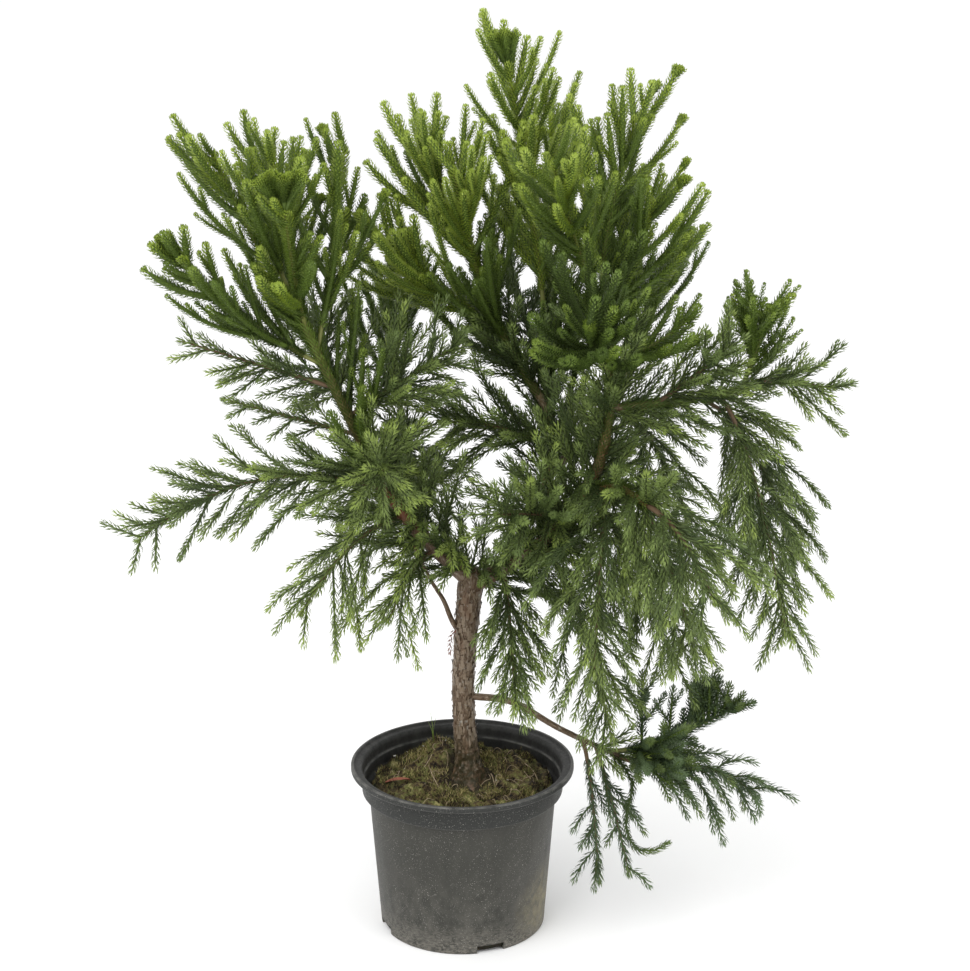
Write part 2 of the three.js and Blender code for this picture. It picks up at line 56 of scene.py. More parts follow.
# Camera, in millimetres and degrees; the photograph's frame and its focal length are in pixels
CAMERA_AT = (22.7, -2200, 1139)
CAMERA_DOWN = 17.1
FRAME_LONG_SIDE = 971
FOCAL_PIXELS = 2374
SENSOR = 36

# Stage, in metres. Each lamp has a name, place, size and watts.
STUDIO_LIGHTS = [("key", (-1.2, -1.6, 2.6), 1.8, 45), ("fill", (1.8, -1.4, 1.6), 1.6, 16)]
LAMPS_AIM = (0, 0, 0.5)
WORLD_STRENGTH = 1.1
FLOOR_SIZE = 60
FLOOR_WHITE = (0.93, 0.93, 0.93)

# Nursery pot, turned from its middle outwards and back in
POT_HEIGHT = 172
POT_MIDDLE = 20
POT_FOOT_RADIUS = 83
POT_SHOULDER_RADIUS = 94
POT_SHOULDER_HEIGHT = 141
COLLAR_RADIUS = 101
COLLAR_HEIGHT = 143.5
LIP_RADIUS = 112
LIP_THICKNESS = 6
LIP_ROUND = 1.6
LIP_BEAD = 3.5
LIP_GROOVE = 2.4
LIP_STEP = 1
INNER_LEDGE = (97.8, 157)
POT_ROW = 4.5
POT_TOP_WITHIN = 0.1
CORNER_MOST = 0.45
CORNER_ROWS = 4
POT_WALL = 2
POT_FLOOR = 3
POT_SIDES = 160
DRAIN_COUNT = 4
DRAIN_FIRST_ANGLE = -70
DRAIN_WIDTH = 28
DRAIN_HEIGHT = 8.5
DRAIN_DEPTH = 34
# Heights of the plastic's edges that carry a painted highlight, and how far the highlight reaches
PAINTED_HIGHLIGHT_EDGES = [(143, 1.3), (166.2, 1), (171.6, 1.2)]
# Stains, painted light and painted shade: colour, then size, stretch and detail of the noise that breaks each
# up, then the noise's range
POT_STAINS_AND_PAINTED_LIGHT = {
    "dust": ((0.088, 0.084, 0.072), (9, 1.4, 4), (0.36, 0.66)),
    # A pale patch on the pot's right side: painted light falling from the right
    "painted_sheen_at_side": ((0.080, 0.077, 0.068), (12, 1.4, 4), (0.2, 0.6)),
    "splashes": ((0.140, 0.130, 0.110), (3.5, 0.5, 4), (0.4, 0.6)),
    "algae": ((0.235, 0.205, 0.120), (8,), (0.25, 0.75)),
    "specks": ((0.330, 0.320, 0.290), (30,), (0.3, 0.55)),
    # Pale lines along the edges of the lip and collar: painted highlights
    "edge_highlight": ((0.150, 0.147, 0.135), (11,), (0.25, 0.7)),
    # A pale line along the inner ledge: painted highlight
    "ledge_highlight": ((0.120, 0.117, 0.105), (12,), (0.35, 0.65)),
}
BARK_STAINS = {
    "forks": ((0.210, 0.066, 0.034), (16, 2, 2), (0.42, 0.56)),
    "moss": ((0.034, 0.029, 0.012), (5, 1, 3), (0.25, 0.56)),
}
# Painted shade on the compost next to the pot's wall
SOIL_PAINTED_SHADE = {"rim": ((0.014, 0.017, 0.007), (9,), (0.35, 0.6))}

# Compost and moss. A mound has a place, a radius and a height; a lump has a size and a depth.
SOIL_LEVEL = 147
SOIL_EDGE_DROP = 6
SOIL_LUMP = 2.5
SOIL_RINGS = 70
LUMP_WAVES = SimpleNamespace(across=0.16, back=0.19, skew=0.05, start=1.3)
MOUNDS = [((-20, 30), 42, 24), ((44, 34), 36, 12), ((-58, -18), 40, 5)]
MOSS_MOUND = ((-26, 36), 30, 9)
MOSS_LUMPS = [(14, 6), (5, 3.2), (2.2, 1.4)]
BARE_SOIL = SimpleNamespace(radius=34, ragged=6, fade=10, most=0.85)
MOSS = SimpleNamespace(
    blades=24000, from_wall=6, sunk=0.6, clump=13, tuft=4, tuft_share=0.5, thinnest=-0.2, from_trunk=(19, 18),
    lean=0.55, lean_up=0.2, length=(2, 5), clump_length=3, half=(0.35, 0.6), age_spread=0.5, age_start=0.5,
    age_reach=90, ages=(0.12, 0.45, 0.8),
)
MOSS_TINTS = {
    "brown": (0.028, 0.020, 0.010),
    "olive": (0.196, 0.156, 0.062),
    "green": (0.160, 0.180, 0.048),
    "straw": (0.400, 0.340, 0.150),
}

# Litter on the moss, by its place on the pot's plan
LEAF = SimpleNamespace(
    ends=[(-77, -18), (-52, -15)], above=2.5, arch=4, rows=13, columns=7, half=3.4, stalk=0.12, blunt=0.7,
    fold=1.6,
)
STRANDS = SimpleNamespace(
    ends=[((-36, 13), (-19, -25)), ((28, 4), (33, -11)), ((63, 24), (76, 4)), ((84, 30), (86, 13))],
    rises=(-1, 5, -1), bend=5, rows=13, radius=0.6,
)
FIBRES = SimpleNamespace(
    count=60, from_wall=22, least=0.05, bend=7, bends=3, rises=(0, 7, 2, 1), rows=9, radius=(0.2, 0.4),
)
THREAD_SIDES = 4
GRIT = SimpleNamespace(
    placed=[(-70, 54), (-58, 66)], count=5, reach=60, big_from=65, big=2.6, small=(0.7, 1.3), rows=7,
    columns=9, pole=0.05, lump=0.3, lump_pitch=1.4, above=0.3,
)
SEEDLING = SimpleNamespace(
    at=(-30, 34), blades=[(-3, -2, 34), (4, 1, 30), (-6, 3, 22)], rows=9, half=0.9, tip=0.001, bend=0.6,
)
TUFT_PATH = [(-6, -8, 318), (-11, -11, 308), (-12, -12, 292)]
TUFT_LOOK = SimpleNamespace(core=0.6, needle=6, wide=1.3, per_mm=1.6, opens=50, closes=35, bands=())
# Light and dark colour of each kind of litter
LITTER = {
    "dry_fibre": ((0.420, 0.340, 0.220), (0.200, 0.140, 0.080)),
    "dead_leaf": ((0.270, 0.088, 0.050), (0.150, 0.048, 0.027)),
    "perlite": ((0.620, 0.610, 0.570), (0.380, 0.370, 0.330)),
    "seedling_leaf": ((0.200, 0.270, 0.050), (0.110, 0.170, 0.030)),
}

# Trunk and limbs: the points each passes and its radius at shares of its length
TRUNK_PATH = [(6, 0, 147), (6, 0, 162), (2, 0, 217), (1, 0, 255), (5, 0, 323), (10, 0, 380)]
TRUNK_RADII = [(0, 20), (0.05, 15), (0.13, 12.2), (0.3, 11), (0.7, 11.6), (0.92, 13), (1, 11)]
LIMBS = {
    "trunk": (TRUNK_PATH, TRUNK_RADII),
    "left_leader": ([(7, 0, 364), (-57, -14, 439), (-105, -28, 536), (-161, -36, 664)], [(0, 8), (1, 3.2)]),
    "right_leader": (
        [(12, 0, 360), (83, -25, 417), (126, -40, 482), (140, -50, 561), (131, -56, 665)],
        [(0, 8.5), (1, 3.2)],
    ),
    "middle_leader": ([(82, -24, 416), (84, 28, 466), (86, 54, 545), (81, 60, 610)], [(0, 6.5), (1, 3.2)]),
    "inner_limb": ([(85, 48, 524), (40, 52, 600), (8, 52, 680)], [(0, 4.6), (1, 2.8)]),
    "side_limb": ([(140, -49, 552), (190, -42, 556), (244, -24, 560), (280, -12, 568)], [(0, 4.6), (1, 2.8)]),
    "front_limb": ([(114, -36, 461), (146, -92, 488), (172, -142, 486)], [(0, 4.6), (1, 2.8)]),
    "low_limb": ([(2, 0, 243), (48, -10, 241), (97, -20, 216), (157, -30, 190)], [(0, 3.8), (1, 2.6)]),
    "back_limb": ([(-36, -9, 416), (-52, 58, 452), (-62, 122, 496)], [(0, 5), (1, 2.8)]),
    "back_right_limb": ([(84, 26, 463), (134, 86, 500), (164, 136, 532)], [(0, 5), (1, 2.8)]),
}
SPUR_PATH = [(0, -2, 308), (-9, -5, 323), (-18, -8, 347), (-29, -14, 368), (-46, -24, 409)]
SPUR_RADII = [(0, 3), (1, 1.2)]

# Bark: its scales' size and relief as a share of the limb's mean radius, and the grids' row and sides
SCALES = SimpleNamespace(
    wide=2.5, long=9, warp=(0.8, 0.9), relief=0.13, level=0.8, fewest=6, mean=0.5, spread=0.35, slope=0.4,
    sharp=4, crack=0.15, far=9.0,
)
BARK_FIBRES = SimpleNamespace(size=(0.8, 0.8, 4), relief=0.14, rise=0.06)
TRUNK_GRID = (0.8, 112)
LIMB_GRID = (1.5, 36)
LIMB_TIP = 6
FLAKES = SimpleNamespace(
    count=320, begin=(0.05, 0.88), length=(4, 10), width=(2, 4.4), radius=12, lift=(0.5, 1.7), rows=4,
    relief=0.75,
)
ROOTS = SimpleNamespace(lobes=4, reach=20, swell=0.1, depth=0.22, start=0.6)
BARK_FOOT = (176, 222)
FORK_BAND = (460, 75)
# The share of a limb from which its bark is young and green
YOUNG_FROM = {
    "left_leader": 0.35, "right_leader": 0.4, "middle_leader": 0.3, "inner_limb": 0, "side_limb": 0,
    "front_limb": 0, "back_limb": 0.2, "back_right_limb": 0.2,
}
YOUNG_OVER = 0.3
YOUNG_MOST = 0.75

# How a mass grows, as in the solids, and how its twigs and needles look
HABITS = {
    "upright": dict(
        arch=-0.12, spacing=13, bare=0.12, reach=150, taper=0.65, splay=38, rise=0.9, round=1, girth=14,
        blunt=0.8,
    ),
    "level": dict(
        arch=0, spacing=13, bare=0.1, reach=120, taper=0.65, splay=48, rise=0.1, round=0.35, girth=15,
        blunt=0.5,
    ),
    "weeping": dict(
        arch=0.3, spacing=14, bare=0.12, reach=130, taper=0.6, splay=48, rise=-1.1, round=0.4, girth=14,
        blunt=0.45,
    ),
}
LOOKS = {
    "upright": dict(
        brush=4.8, extra=4.5, side_spacing=45, side_most=2, side_share=0.35, side_least=12, side_angle=28,
        side_step=GOLDEN_ANGLE, core=2.6, needle=6.2, wide=1.75, per_mm=3.5, opens=64, closes=38,
    ),
    "level": dict(
        brush=4.6, extra=4, side_spacing=42, side_most=2, side_share=0.5, side_least=16, side_angle=28,
        side_step=math.pi, core=0.9, needle=9.5, wide=1.6, per_mm=1.5, opens=46, closes=28,
    ),
    "weeping": dict(
        brush=5, extra=3, side_spacing=48, side_most=2, side_share=0.45, side_least=18, side_angle=24,
        side_step=math.pi, core=0.8, needle=10, wide=1.6, per_mm=1.4, opens=44, closes=28,
    ),
}
BUSHY = dict(
    brush=3, side_spacing=13, side_most=5, side_share=0.4, side_least=14, side_angle=48, core=1.3, needle=6.4,
    per_mm=2.6,
)
OWN_LOOKS = {"low_cluster": dict(BUSHY, needle=8.5, per_mm=2.8, side_share=0.5), "side_up": BUSHY}
# How many finer shoots a mass gets for each of its solids' shoots, where that isn't its habit's own number
EXTRAS = {
    "low_cluster": 10, "side_up": 9, "side_tip": 7, "side_inner": 6, "left_low": 2, "left_under": 1,
    "left_spray": 2, "centre_weep": 6, "left_weep": 1.5, "left_weep_inner": 1.5, "low_spray": 2,
    "low_weep": 0.5, "low_curl": 0.5, "middle_heart": 7, "heart_front": 7, "left_heart_front": 6,
    "left_heart": 6, "middle_left": 7, "middle_inner": 7, "middle_side": 7,
}

# Shoots that grow straight from the limbs: habit, first and last share of the limb, reach
CLOTHING = {
    "trunk": [("level", 0.88, 1, 90), ("weeping", 0.9, 1, 75), ("level", 0.93, 1, 60)],
    "left_leader": [
        ("level", 0, 0.3, 100), ("weeping", 0.03, 0.4, 100), ("level", 0.02, 0.4, 70),
        ("upright", 0.42, 1, 140), ("level", 0.1, 0.45, 115),
    ],
    "right_leader": [
        ("level", 0, 0.5, 105), ("weeping", 0.03, 0.4, 110), ("level", 0.02, 0.4, 70),
        ("level", 0.4, 0.85, 95), ("upright", 0.7, 1, 140), ("level", 0.1, 0.5, 125),
        ("weeping", 0, 0.3, 150),
    ],
    "middle_leader": [("level", 0.1, 0.5, 95), ("upright", 0.4, 1, 140), ("level", 0.3, 0.9, 85)],
    "inner_limb": [
        ("level", 0.1, 0.5, 95), ("upright", 0.15, 1, 130), ("level", 0.1, 0.6, 80), ("upright", 0.3, 1, 150),
    ],
    "side_limb": [("level", 0, 1, 90)],
    "front_limb": [("level", 0.05, 1, 80), ("weeping", 0.1, 1, 100)],
    "low_limb": [("level", 0.82, 1, 60)],
    "back_limb": [("level", 0.2, 1, 85)],
    "back_right_limb": [("level", 0.2, 1, 85)],
}
CLOTHING_SPACING = 2.5
CLOTHING_TAPER = 0.2
# The share of each limb from which short needles sit on its bark
NEEDLED_FROM = {
    "left_leader": 0.4, "right_leader": 0.42, "middle_leader": 0.35, "inner_limb": 0.1, "side_limb": 0.05,
    "front_limb": 0.15, "back_limb": 0.3, "back_right_limb": 0.3,
}
LIMB_LOOK = SimpleNamespace(core=5.2, needle=8, wide=1.8, per_mm=5, opens=40, closes=28)
LIMB_TINTS = ("fresh_mid", "fresh_mid", "fresh_mid", "fresh_deep")
# A strand of the low limb that curls up at its end
CURL_PATH = [
    (141, -27, 197), (158, -34, 184), (169, -42, 165), (163, -48, 139), (164, -50, 115), (175, -50, 99),
    (192, -48, 97), (205, -46, 104),
]
CURL_LOOK = SimpleNamespace(core=1, needle=7.5, wide=1.6, per_mm=3, opens=48, closes=28)
CURL_TINTS = ("deep_mid", "deep_mid", "deep_dark", "deep_dark")

# Foliage masses: limb, share of the limb, tip of the stem, habit, and what differs from that habit
MASSES = {
    "left_top": ("left_leader", 1, (-170, -58, 788), "upright", {}),
    "left_outer": ("left_leader", 0.92, (-228, -22, 790), "upright", {}),
    "left_side": ("left_leader", 0.77, (-252, -62, 694), "upright", dict(crest=(30, 0.95))),
    "left_low": ("left_leader", 0.7, (-262, -40, 616), "level", dict(reach=90)),
    "left_under": ("left_leader", 0.55, (-224, -28, 556), "level", dict(reach=55)),
    "left_inner": ("left_leader", 0.81, (-108, 12, 788), "upright", {}),
    "left_front": ("left_leader", 0.885, (-156, -112, 752), "upright", dict(reach=85, crest=(62, 0.98))),
    "left_back": ("left_leader", 0.85, (-202, 92, 776), "upright", {}),
    "left_back_low": ("left_leader", 0.65, (-150, 140, 600), "level", {}),
    "left_heart": ("left_leader", 0.61, (-6, -22, 606), "level", {}),
    "left_heart_front": ("left_leader", 0.46, (-70, -128, 516), "level", {}),
    "left_spray": ("left_leader", 0.36, (-306, -72, 430), "level", dict(arch=0.3)),
    "left_weep": ("left_leader", 0.27, (-154, -66, 354), "weeping", {}),
    "left_weep_inner": ("left_leader", 0.14, (-70, -60, 344), "weeping", {}),
    "middle_top": ("middle_leader", 1, (44, 58, 862), "upright", dict(taper=0.5, crest=(38, 0.95))),
    "middle_left": ("inner_limb", 1, (-52, 62, 786), "upright", {}),
    "middle_inner": ("inner_limb", 0.8, (-8, 18, 768), "upright", {}),
    "middle_side": ("inner_limb", 0.6, (-84, 36, 704), "upright", {}),
    "middle_heart": ("middle_leader", 0.46, (-14, 10, 524), "level", dict(arch=0.1)),
    "middle_back": ("middle_leader", 0.93, (88, 174, 796), "upright", {}),
    "middle_back_low": ("middle_leader", 0.7, (46, 222, 636), "level", {}),
    "right_top": ("right_leader", 1, (160, -24, 822), "upright", {}),
    "right_outer": ("right_leader", 0.92, (178, -36, 748), "upright", {}),
    "right_side": ("right_leader", 0.81, (214, -50, 640), "upright", dict(reach=90)),
    "right_front": ("right_leader", 0.955, (82, -132, 798), "upright", {}),
    "right_front_low": ("right_leader", 0.85, (112, -206, 672), "upright", {}),
    "right_back": ("right_leader", 0.885, (164, 96, 742), "upright", {}),
    "heart_front": ("right_leader", 0.36, (34, -116, 470), "level", {}),
    "centre_weep": ("right_leader", 0.1, (52, -84, 270), "weeping", dict(reach=105)),
    "centre_right_weep": ("right_leader", 0.24, (146, -66, 226), "weeping", {}),
    "right_weep": ("right_leader", 0.42, (206, -24, 290), "weeping", {}),
    "side_up": ("side_limb", 0.9, (292, -2, 640), "upright", dict(reach=110, splay=46)),
    "side_inner": ("side_limb", 0.3, (250, -70, 616), "level", {}),
    "side_tip": ("side_limb", 1, (356, -8, 562), "level", dict(reach=95)),
    "side_weep": ("side_limb", 0.74, (312, -62, 332), "weeping", {}),
    "side_weep_back": ("side_limb", 0.58, (336, 66, 366), "weeping", {}),
    "front_tip": ("front_limb", 1, (228, -200, 414), "weeping", dict(arch=0.2)),
    "front_weep": ("front_limb", 0.7, (222, -98, 322), "weeping", {}),
    "front_low": ("front_limb", 0.4, (124, -144, 322), "weeping", {}),
    "low_spray": ("low_limb", 1, (292, -34, 150), "weeping", dict(arch=0.25, reach=115)),
    "low_curl": ("low_limb", 0.84, (166, -58, 76), "weeping", dict(arch=0.1, reach=80)),
    "low_cluster": ("low_limb", 0.93, (270, -12, 236), "upright", dict(reach=92, splay=62, rise=0.35)),
    "low_weep": ("low_limb", 0.76, (136, -66, 72), "weeping", dict(reach=75)),
    "back_up": ("back_limb", 1, (-84, 196, 632), "upright", {}),
    "back_weep": ("back_limb", 0.78, (-44, 208, 344), "weeping", {}),
    "back_left_weep": ("back_limb", 0.52, (-120, 160, 384), "weeping", {}),
    "back_right_up": ("back_right_limb", 1, (206, 200, 642), "upright", {}),
    "back_right_weep": ("back_right_limb", 0.74, (238, 174, 370), "weeping", {}),
}

# The rule that stems and shoots follow, as in the solids
CLEARANCE = 0.3
ELBOW_ROOM = 1.2
SAMPLE_STEP = 6
STEM_RADII = (4.2, 3.2)
STEM_BARE = 0.6
STEM_STEP = 50
CORE_RADIUS = 3.2
WHORL_PITCH = 48
WHORL_REACH = 0.8
SPACING_SPREAD = 0.6
SPLAY_SPREAD = (0.8, 1.2)
LENGTH_SPREAD = (0.75, 1.1)
SHORTENED = (1, 0.8, 0.62, 0.46)
TWIG_ROOT = 0.2
INTERLACE = 0.6
DRAWS_PER_SHOOT = 7
DRAWS = SimpleNamespace(place=1, turn=2, splay=3, length=4, finer=5)
SEEDS = 997
# The same rule for the finer shoots
FINER_SPREAD = (0.5, 1.05)
FINER_ROOT = TWIG_ROOT * 1.5
FINER_INTERLACE = 0.78

# Crests, and the small fans at some tips
CREST_HEIGHT = 44
CREST_THICKNESS = 12
CREST_DROOP = 0.16
CREST_SCALLOP = 0.05
CREST_SCALLOPS = 7
CREST_BALLS = (-0.8, -0.4, 0, 0.4, 0.8)
CREST_BALLS_RISE = 0.7
CREST_NARROW = 0.8
CREST_RUFFLE = 0.16
CREST_RUFFLES = 6
CREST_RUFFLE_START = 0.8
CREST_RAGGED = (0.96, 1.04)
CREST_ELBOW = (0.6, 0.35)
CREST_SHOOT_PITCH = 1.3
FAN_TIPS = 0.05
FANLESS = {"low_cluster", "side_up", "right_front_low", "right_leader_upright", "middle_leader_upright"}
FAN_AT = 0.9
FAN_WIDTH = (10, 18)
FAN_HEIGHT = 15
FAN_WOOD = (1.4, 2, 4)
FAN_NEEDLES_FROM = 0.3
FAN_LOOK = SimpleNamespace(core=2.2, needle=3.6, wide=1.5, per_mm=3.4, opens=50, closes=20, bands=(4, 8, 20))
FAN_TINTS = ("fresh_tip", "fresh_light", "fresh_mid", "fresh_deep")

# Stems, shoots and twigs: radii, sides, and the share from which needles cover them. A stem that carries
# its limb on has the thicker foot. Upright shoots have more sides than others, and twigs one less.
# CURL_WOOD, like FAN_WOOD, has the radius at the foot and at the tip, and the sides.
STEM_FEET = (2.3, 2.8)
STEM_TIP = 0.9
STEM_SIDES = 6
STEM_COATS = 2
STEM_NEEDLES_FROM = 0.12
SHOOT_SIZES = (0.7, 1.15)
SHOOT_FOOT = 0.4
SHOOT_SIDES = (4, 5)
SHOOT_NEEDLES_FROM = 0.1
TWIG_SIZE = 0.8
TWIG_TIP = 0.8
TWIG_NEEDLES_FROM = 0.05
CURL_WOOD = (1.3, 0.9, 5)
WOOD_STEP = 14
WOOD_TIP = 0.3
# Where and how a shoot's finer twigs leave it
SIDE_BARE = 20
SIDE_SHARES = (0.2, 0.8)
SIDE_STRAY = (0.2, 0.8)
SIDE_UP = UP + (0.1, 0.2, 0)
SIDE_TURN = 0.5
SIDE_SPLAY = (0.8, 1.2)
SIDE_LENGTHS = (0.8, 1.15)
SIDE_ONWARD = 0.5
SIDE_RISE = 0.4

# Needles: two triangles each. Over a twig's last millimetres they are shorter and lean in.
NEEDLE_FACES = np.array([(0, 2, 1), (1, 2, 3)])
NEEDLE_BEND = 0.45
NEEDLE_ROOT = 0.7
NEEDLE_LENGTHS = (0.8, 1.15)
NEEDLE_WIDTHS = (0.85, 1.15)
NEEDLE_OPENS = 8
NEEDLE_CLOSES = 10
FEWEST_NEEDLES = 4
FIRST_TURN = 6
TIP_LENGTH = 0.65
TIP_OPENS = 0.6
TIP_OVER = 12
TIP_CLOSES_OVER = 8
DOME_NEEDLES = 14
DOME_LENGTH = 0.62
DOME_OPENS = 62
# Upright masses that have the deep foliage's needles
DEEP_UPRIGHT = {"low_cluster"}

# Plain base colours, linear, dealt out by spray and by place along a twig
TINTS = {
    "fresh_pale": (0.330, 0.425, 0.062),
    "fresh_tip": (0.232, 0.312, 0.032),
    "fresh_light": (0.172, 0.246, 0.030),
    "fresh_mid": (0.118, 0.180, 0.027),
    "fresh_deep": (0.070, 0.110, 0.020),
    # painted shade at the feet of shaded sprays
    "fresh_dark": (0.042, 0.064, 0.015),
    "deep_tip": (0.222, 0.294, 0.058),
    "deep_light": (0.155, 0.213, 0.051),
    "deep_mid": (0.109, 0.155, 0.043),
    "deep_dark": (0.060, 0.090, 0.030),
    "deep_cool": (0.094, 0.140, 0.060),
    "deep_cool_dark": (0.052, 0.082, 0.040),
}
# Distances from a twig's tip at which its tint changes, and their spread
TINT_BANDS = (11, 32, 80)
BAND_SPREAD = (0.7, 1.3)
# Tints of a spray from its tips to its foot, as places in its family's list
TINT_SPANS = {
    "lime": [(0, 0, 0, 1), (0, 0, 1, 1), (0, 0, 1, 2)],
    "light": [(0, 0, 1, 2), (0, 1, 1, 2), (0, 1, 2, 2), (1, 1, 2, 3)],
    "fresh": [(0, 1, 2, 3), (1, 2, 2, 3), (1, 2, 3, 4), (1, 2, 3, 4), (1, 3, 4, 4)],
    # The shaded and dark spans paint the shade inside the crown on their darker feet
    "shaded": [(2, 3, 3, 4), (2, 3, 4, 5), (3, 3, 4, 5)],
    "dark": [(2, 3, 4, 5), (3, 4, 4, 5), (3, 4, 5, 5), (4, 4, 5, 5)],
    "deep": [(0, 1, 1, 2), (1, 1, 2, 2), (1, 2, 2, 3), (1, 2, 3, 3), (2, 2, 3, 3)],
    "pale": [(0, 0, 1, 2), (0, 1, 1, 2), (0, 1, 2, 2), (1, 1, 2, 2)],
    "dull": [(1, 2, 3, 3), (2, 2, 3, 3), (2, 3, 3, 3)],
    "cool": [(2, 4, 4, 5), (4, 4, 5, 5), (4, 5, 5, 5)],
}
# Heights at which fresh sprays are shaded, fresh and light, and the masses whose tone doesn't go by height
SHADE_HEIGHTS = (665, 770, 885)
SHADE_SPREAD = 0.35
# The dark and shaded tones are painted shade inside the crown
TONED = {
    "lime": ["middle_left", "middle_inner", "middle_side", "middle_top"],
    "light": ["middle_back"],
    "shaded": ["right_side", "inner_limb_upright"],
    "dark": ["right_front_low", "right_leader_upright", "middle_leader_upright"],
    "pale": ["left_weep", "left_weep_inner", "left_heart_front", "left_leader_weeping"],
    "dull": ["middle_leader_level", "inner_limb_level", "middle_back_low"],
    "cool": ["low_cluster", "low_spray", "low_curl", "low_weep"],
}
TONES = {name: tone for tone, names in TONED.items() for name in names}
WOODS = {
    "stems_young": ((0.160, 0.170, 0.045), "bark"),
    "stems_old": ((0.130, 0.085, 0.050), "bark"),
    "shoots_fresh": ((0.085, 0.130, 0.022), "fresh_foliage"),
    "shoots_dark": ((0.042, 0.064, 0.015), "fresh_foliage"),
    # painted shade: the cores of dark-toned sprays
    "shoots_deep": ((0.060, 0.080, 0.028), "deep_foliage"),
}
# Specular levels, and how shiny needles are for each unit of their green
PLAIN_SHINE = 0.5
SHINE_BY_GREEN = 2.2
NEEDLE_ROUGHNESS = 0.5


# Small helpers


def mix(low, high, share):
    return low + (high - low) * share


def unit(vectors):
    return vectors / np.linalg.norm(vectors, axis=-1, keepdims=True)


def swing(first, second, angle):
    """The direction at an angle from one direction towards another."""
    return first * math.cos(angle) + second * math.sin(angle)


def swings(first, second, angles):
    """The same for an array of angles."""
    return first * np.cos(angles)[..., None] + second * np.sin(angles)[..., None]


def turns(sides):
    return np.linspace(0, 2 * math.pi, sides, endpoint=False)


def chance(seed, draw):
    """A repeatable number from 0 to 1 for each pair of whole numbers."""
    wave = math.sin(seed * HASH[0] + draw * HASH[1]) * HASH_SCALE
    return wave - math.floor(wave)


def seed_of(name):
    """A whole number that stays with a name."""
    return sum(ord(letter) * (i + 1) for i, letter in enumerate(name)) % SEEDS


def smooth_noise(places, seed=0):
    """Smooth noise from -1 to 1 at an array of places, with one swell per unit."""
    cell = np.floor(places)
    part = places - cell
    part = part * part * (3 - 2 * part)
    total = np.zeros(len(places))
    for corner in np.ndindex(2, 2, 2):
        wave = np.sin((cell + corner) @ HASH + seed * HASH_SEED) * HASH_SCALE
        weight = np.prod(np.where(corner, part, 1 - part), axis=1)
        total += weight * (wave - np.floor(wave))
    return total * 2 - 1


# Curves


class Curve:
    """A curve in millimetres that is read at shares of its length."""

    def __init__(self, at):
        self.at = at
        self.times = np.linspace(0, 1, CURVE_STEPS + 1)
        steps = np.linalg.norm(np.diff(at(self.times), axis=0), axis=1)
        self.run = np.concatenate([[0], np.cumsum(steps)])
        self.length = self.run[-1]

    def time(self, shares):
        return np.interp(np.asarray(shares, float) * self.length, self.run, self.times)

    def points(self, shares):
        return self.at(self.time(np.atleast_1d(shares)))

    def tangents(self, shares):
        time = self.time(np.atleast_1d(shares))
        before = self.at(np.maximum(time - CURVE_NUDGE, 0))
        return unit(self.at(np.minimum(time + CURVE_NUDGE, 1)) - before)

    def frames(self, shares):
        """Points, tangents and two directions across, at shares of the length."""
        along = self.tangents(shares)
        binormal = np.cross(along[0], along[-1])
        if np.linalg.norm(binormal) < STRAIGHT:
            binormal = np.cross(along[0], np.eye(3)[np.argmin(np.abs(along[0]))])
        side = unit(binormal - along * (along @ binormal)[:, None])
        return self.points(shares), along, side, np.cross(along, side)


def bezier(*controls):
    """A Bezier curve through its first and last control point."""
    controls = [np.asarray(control, float) for control in controls]

    def at(time):
        layer = [np.outer(np.ones_like(time), control) for control in controls]
        while len(layer) > 1:
            layer = [a + (b - a) * time[:, None] for a, b in zip(layer, layer[1:])]
        return layer[0]

    return Curve(at)


def spline(path):
    """A centripetal Catmull-Rom curve through points."""
    path = np.asarray(path, float)
    knots = np.array([2 * path[0] - path[1], *path, 2 * path[-1] - path[-2]])
    spans = np.sqrt(np.linalg.norm(np.diff(knots, axis=0), axis=1))

    def at(time):
        place = np.clip(time, 0, 1) * (len(path) - 1)
        leg = np.minimum(place.astype(int), len(path) - 2)
        part = (place - leg)[:, None]
        p0, p1, p2, p3 = (knots[leg + i] for i in range(4))
        d0, d1, d2 = (spans[leg + i][:, None] for i in range(3))
        t1 = ((p1 - p0) / d0 - (p2 - p0) / (d0 + d1) + (p2 - p1) / d1) * d1
        t2 = ((p2 - p1) / d1 - (p3 - p1) / (d1 + d2) + (p3 - p2) / d2) * d1
        cubic = 2 * p1 - 2 * p2 + t1 + t2
        square = -3 * p1 + 3 * p2 - 2 * t1 - t2
        return p1 + part * (t1 + part * (square + part * cubic))

    return Curve(at)


# Growth of the masses


def read_at(pairs, shares):
    """Reads a list of (share, value) pairs, straight between neighbours."""
    return np.interp(shares, [share for share, _ in pairs], [value for _, value in pairs])


def whorl_radii(length, begin, mass):
    whorls = max(2, math.floor(length * (1 - begin) / WHORL_PITCH + 0.5))
    radii = []
    for whorl in range(whorls):
        tips = mix(begin, 1, (whorl + WHORL_REACH) / whorls)
        if whorl > 0:
            radii.append((mix(begin, 1, whorl / whorls), CORE_RADIUS))
        radii.append((tips, mass.girth * mix(1, mass.blunt, tips * tips)))
    return radii + [(1, 0)]


def shoot_radii(length, mass):
    return [(0, 0)] + whorl_radii(length, 0, mass)


def stem_radii(length, mass):
    steps = max(2, math.floor(length * STEM_BARE / STEM_STEP + 0.5))
    bare = [(STEM_BARE * i / steps, mix(*STEM_RADII, i / steps)) for i in range(steps + 1)]
    return bare + whorl_radii(length, STEM_BARE, mass)


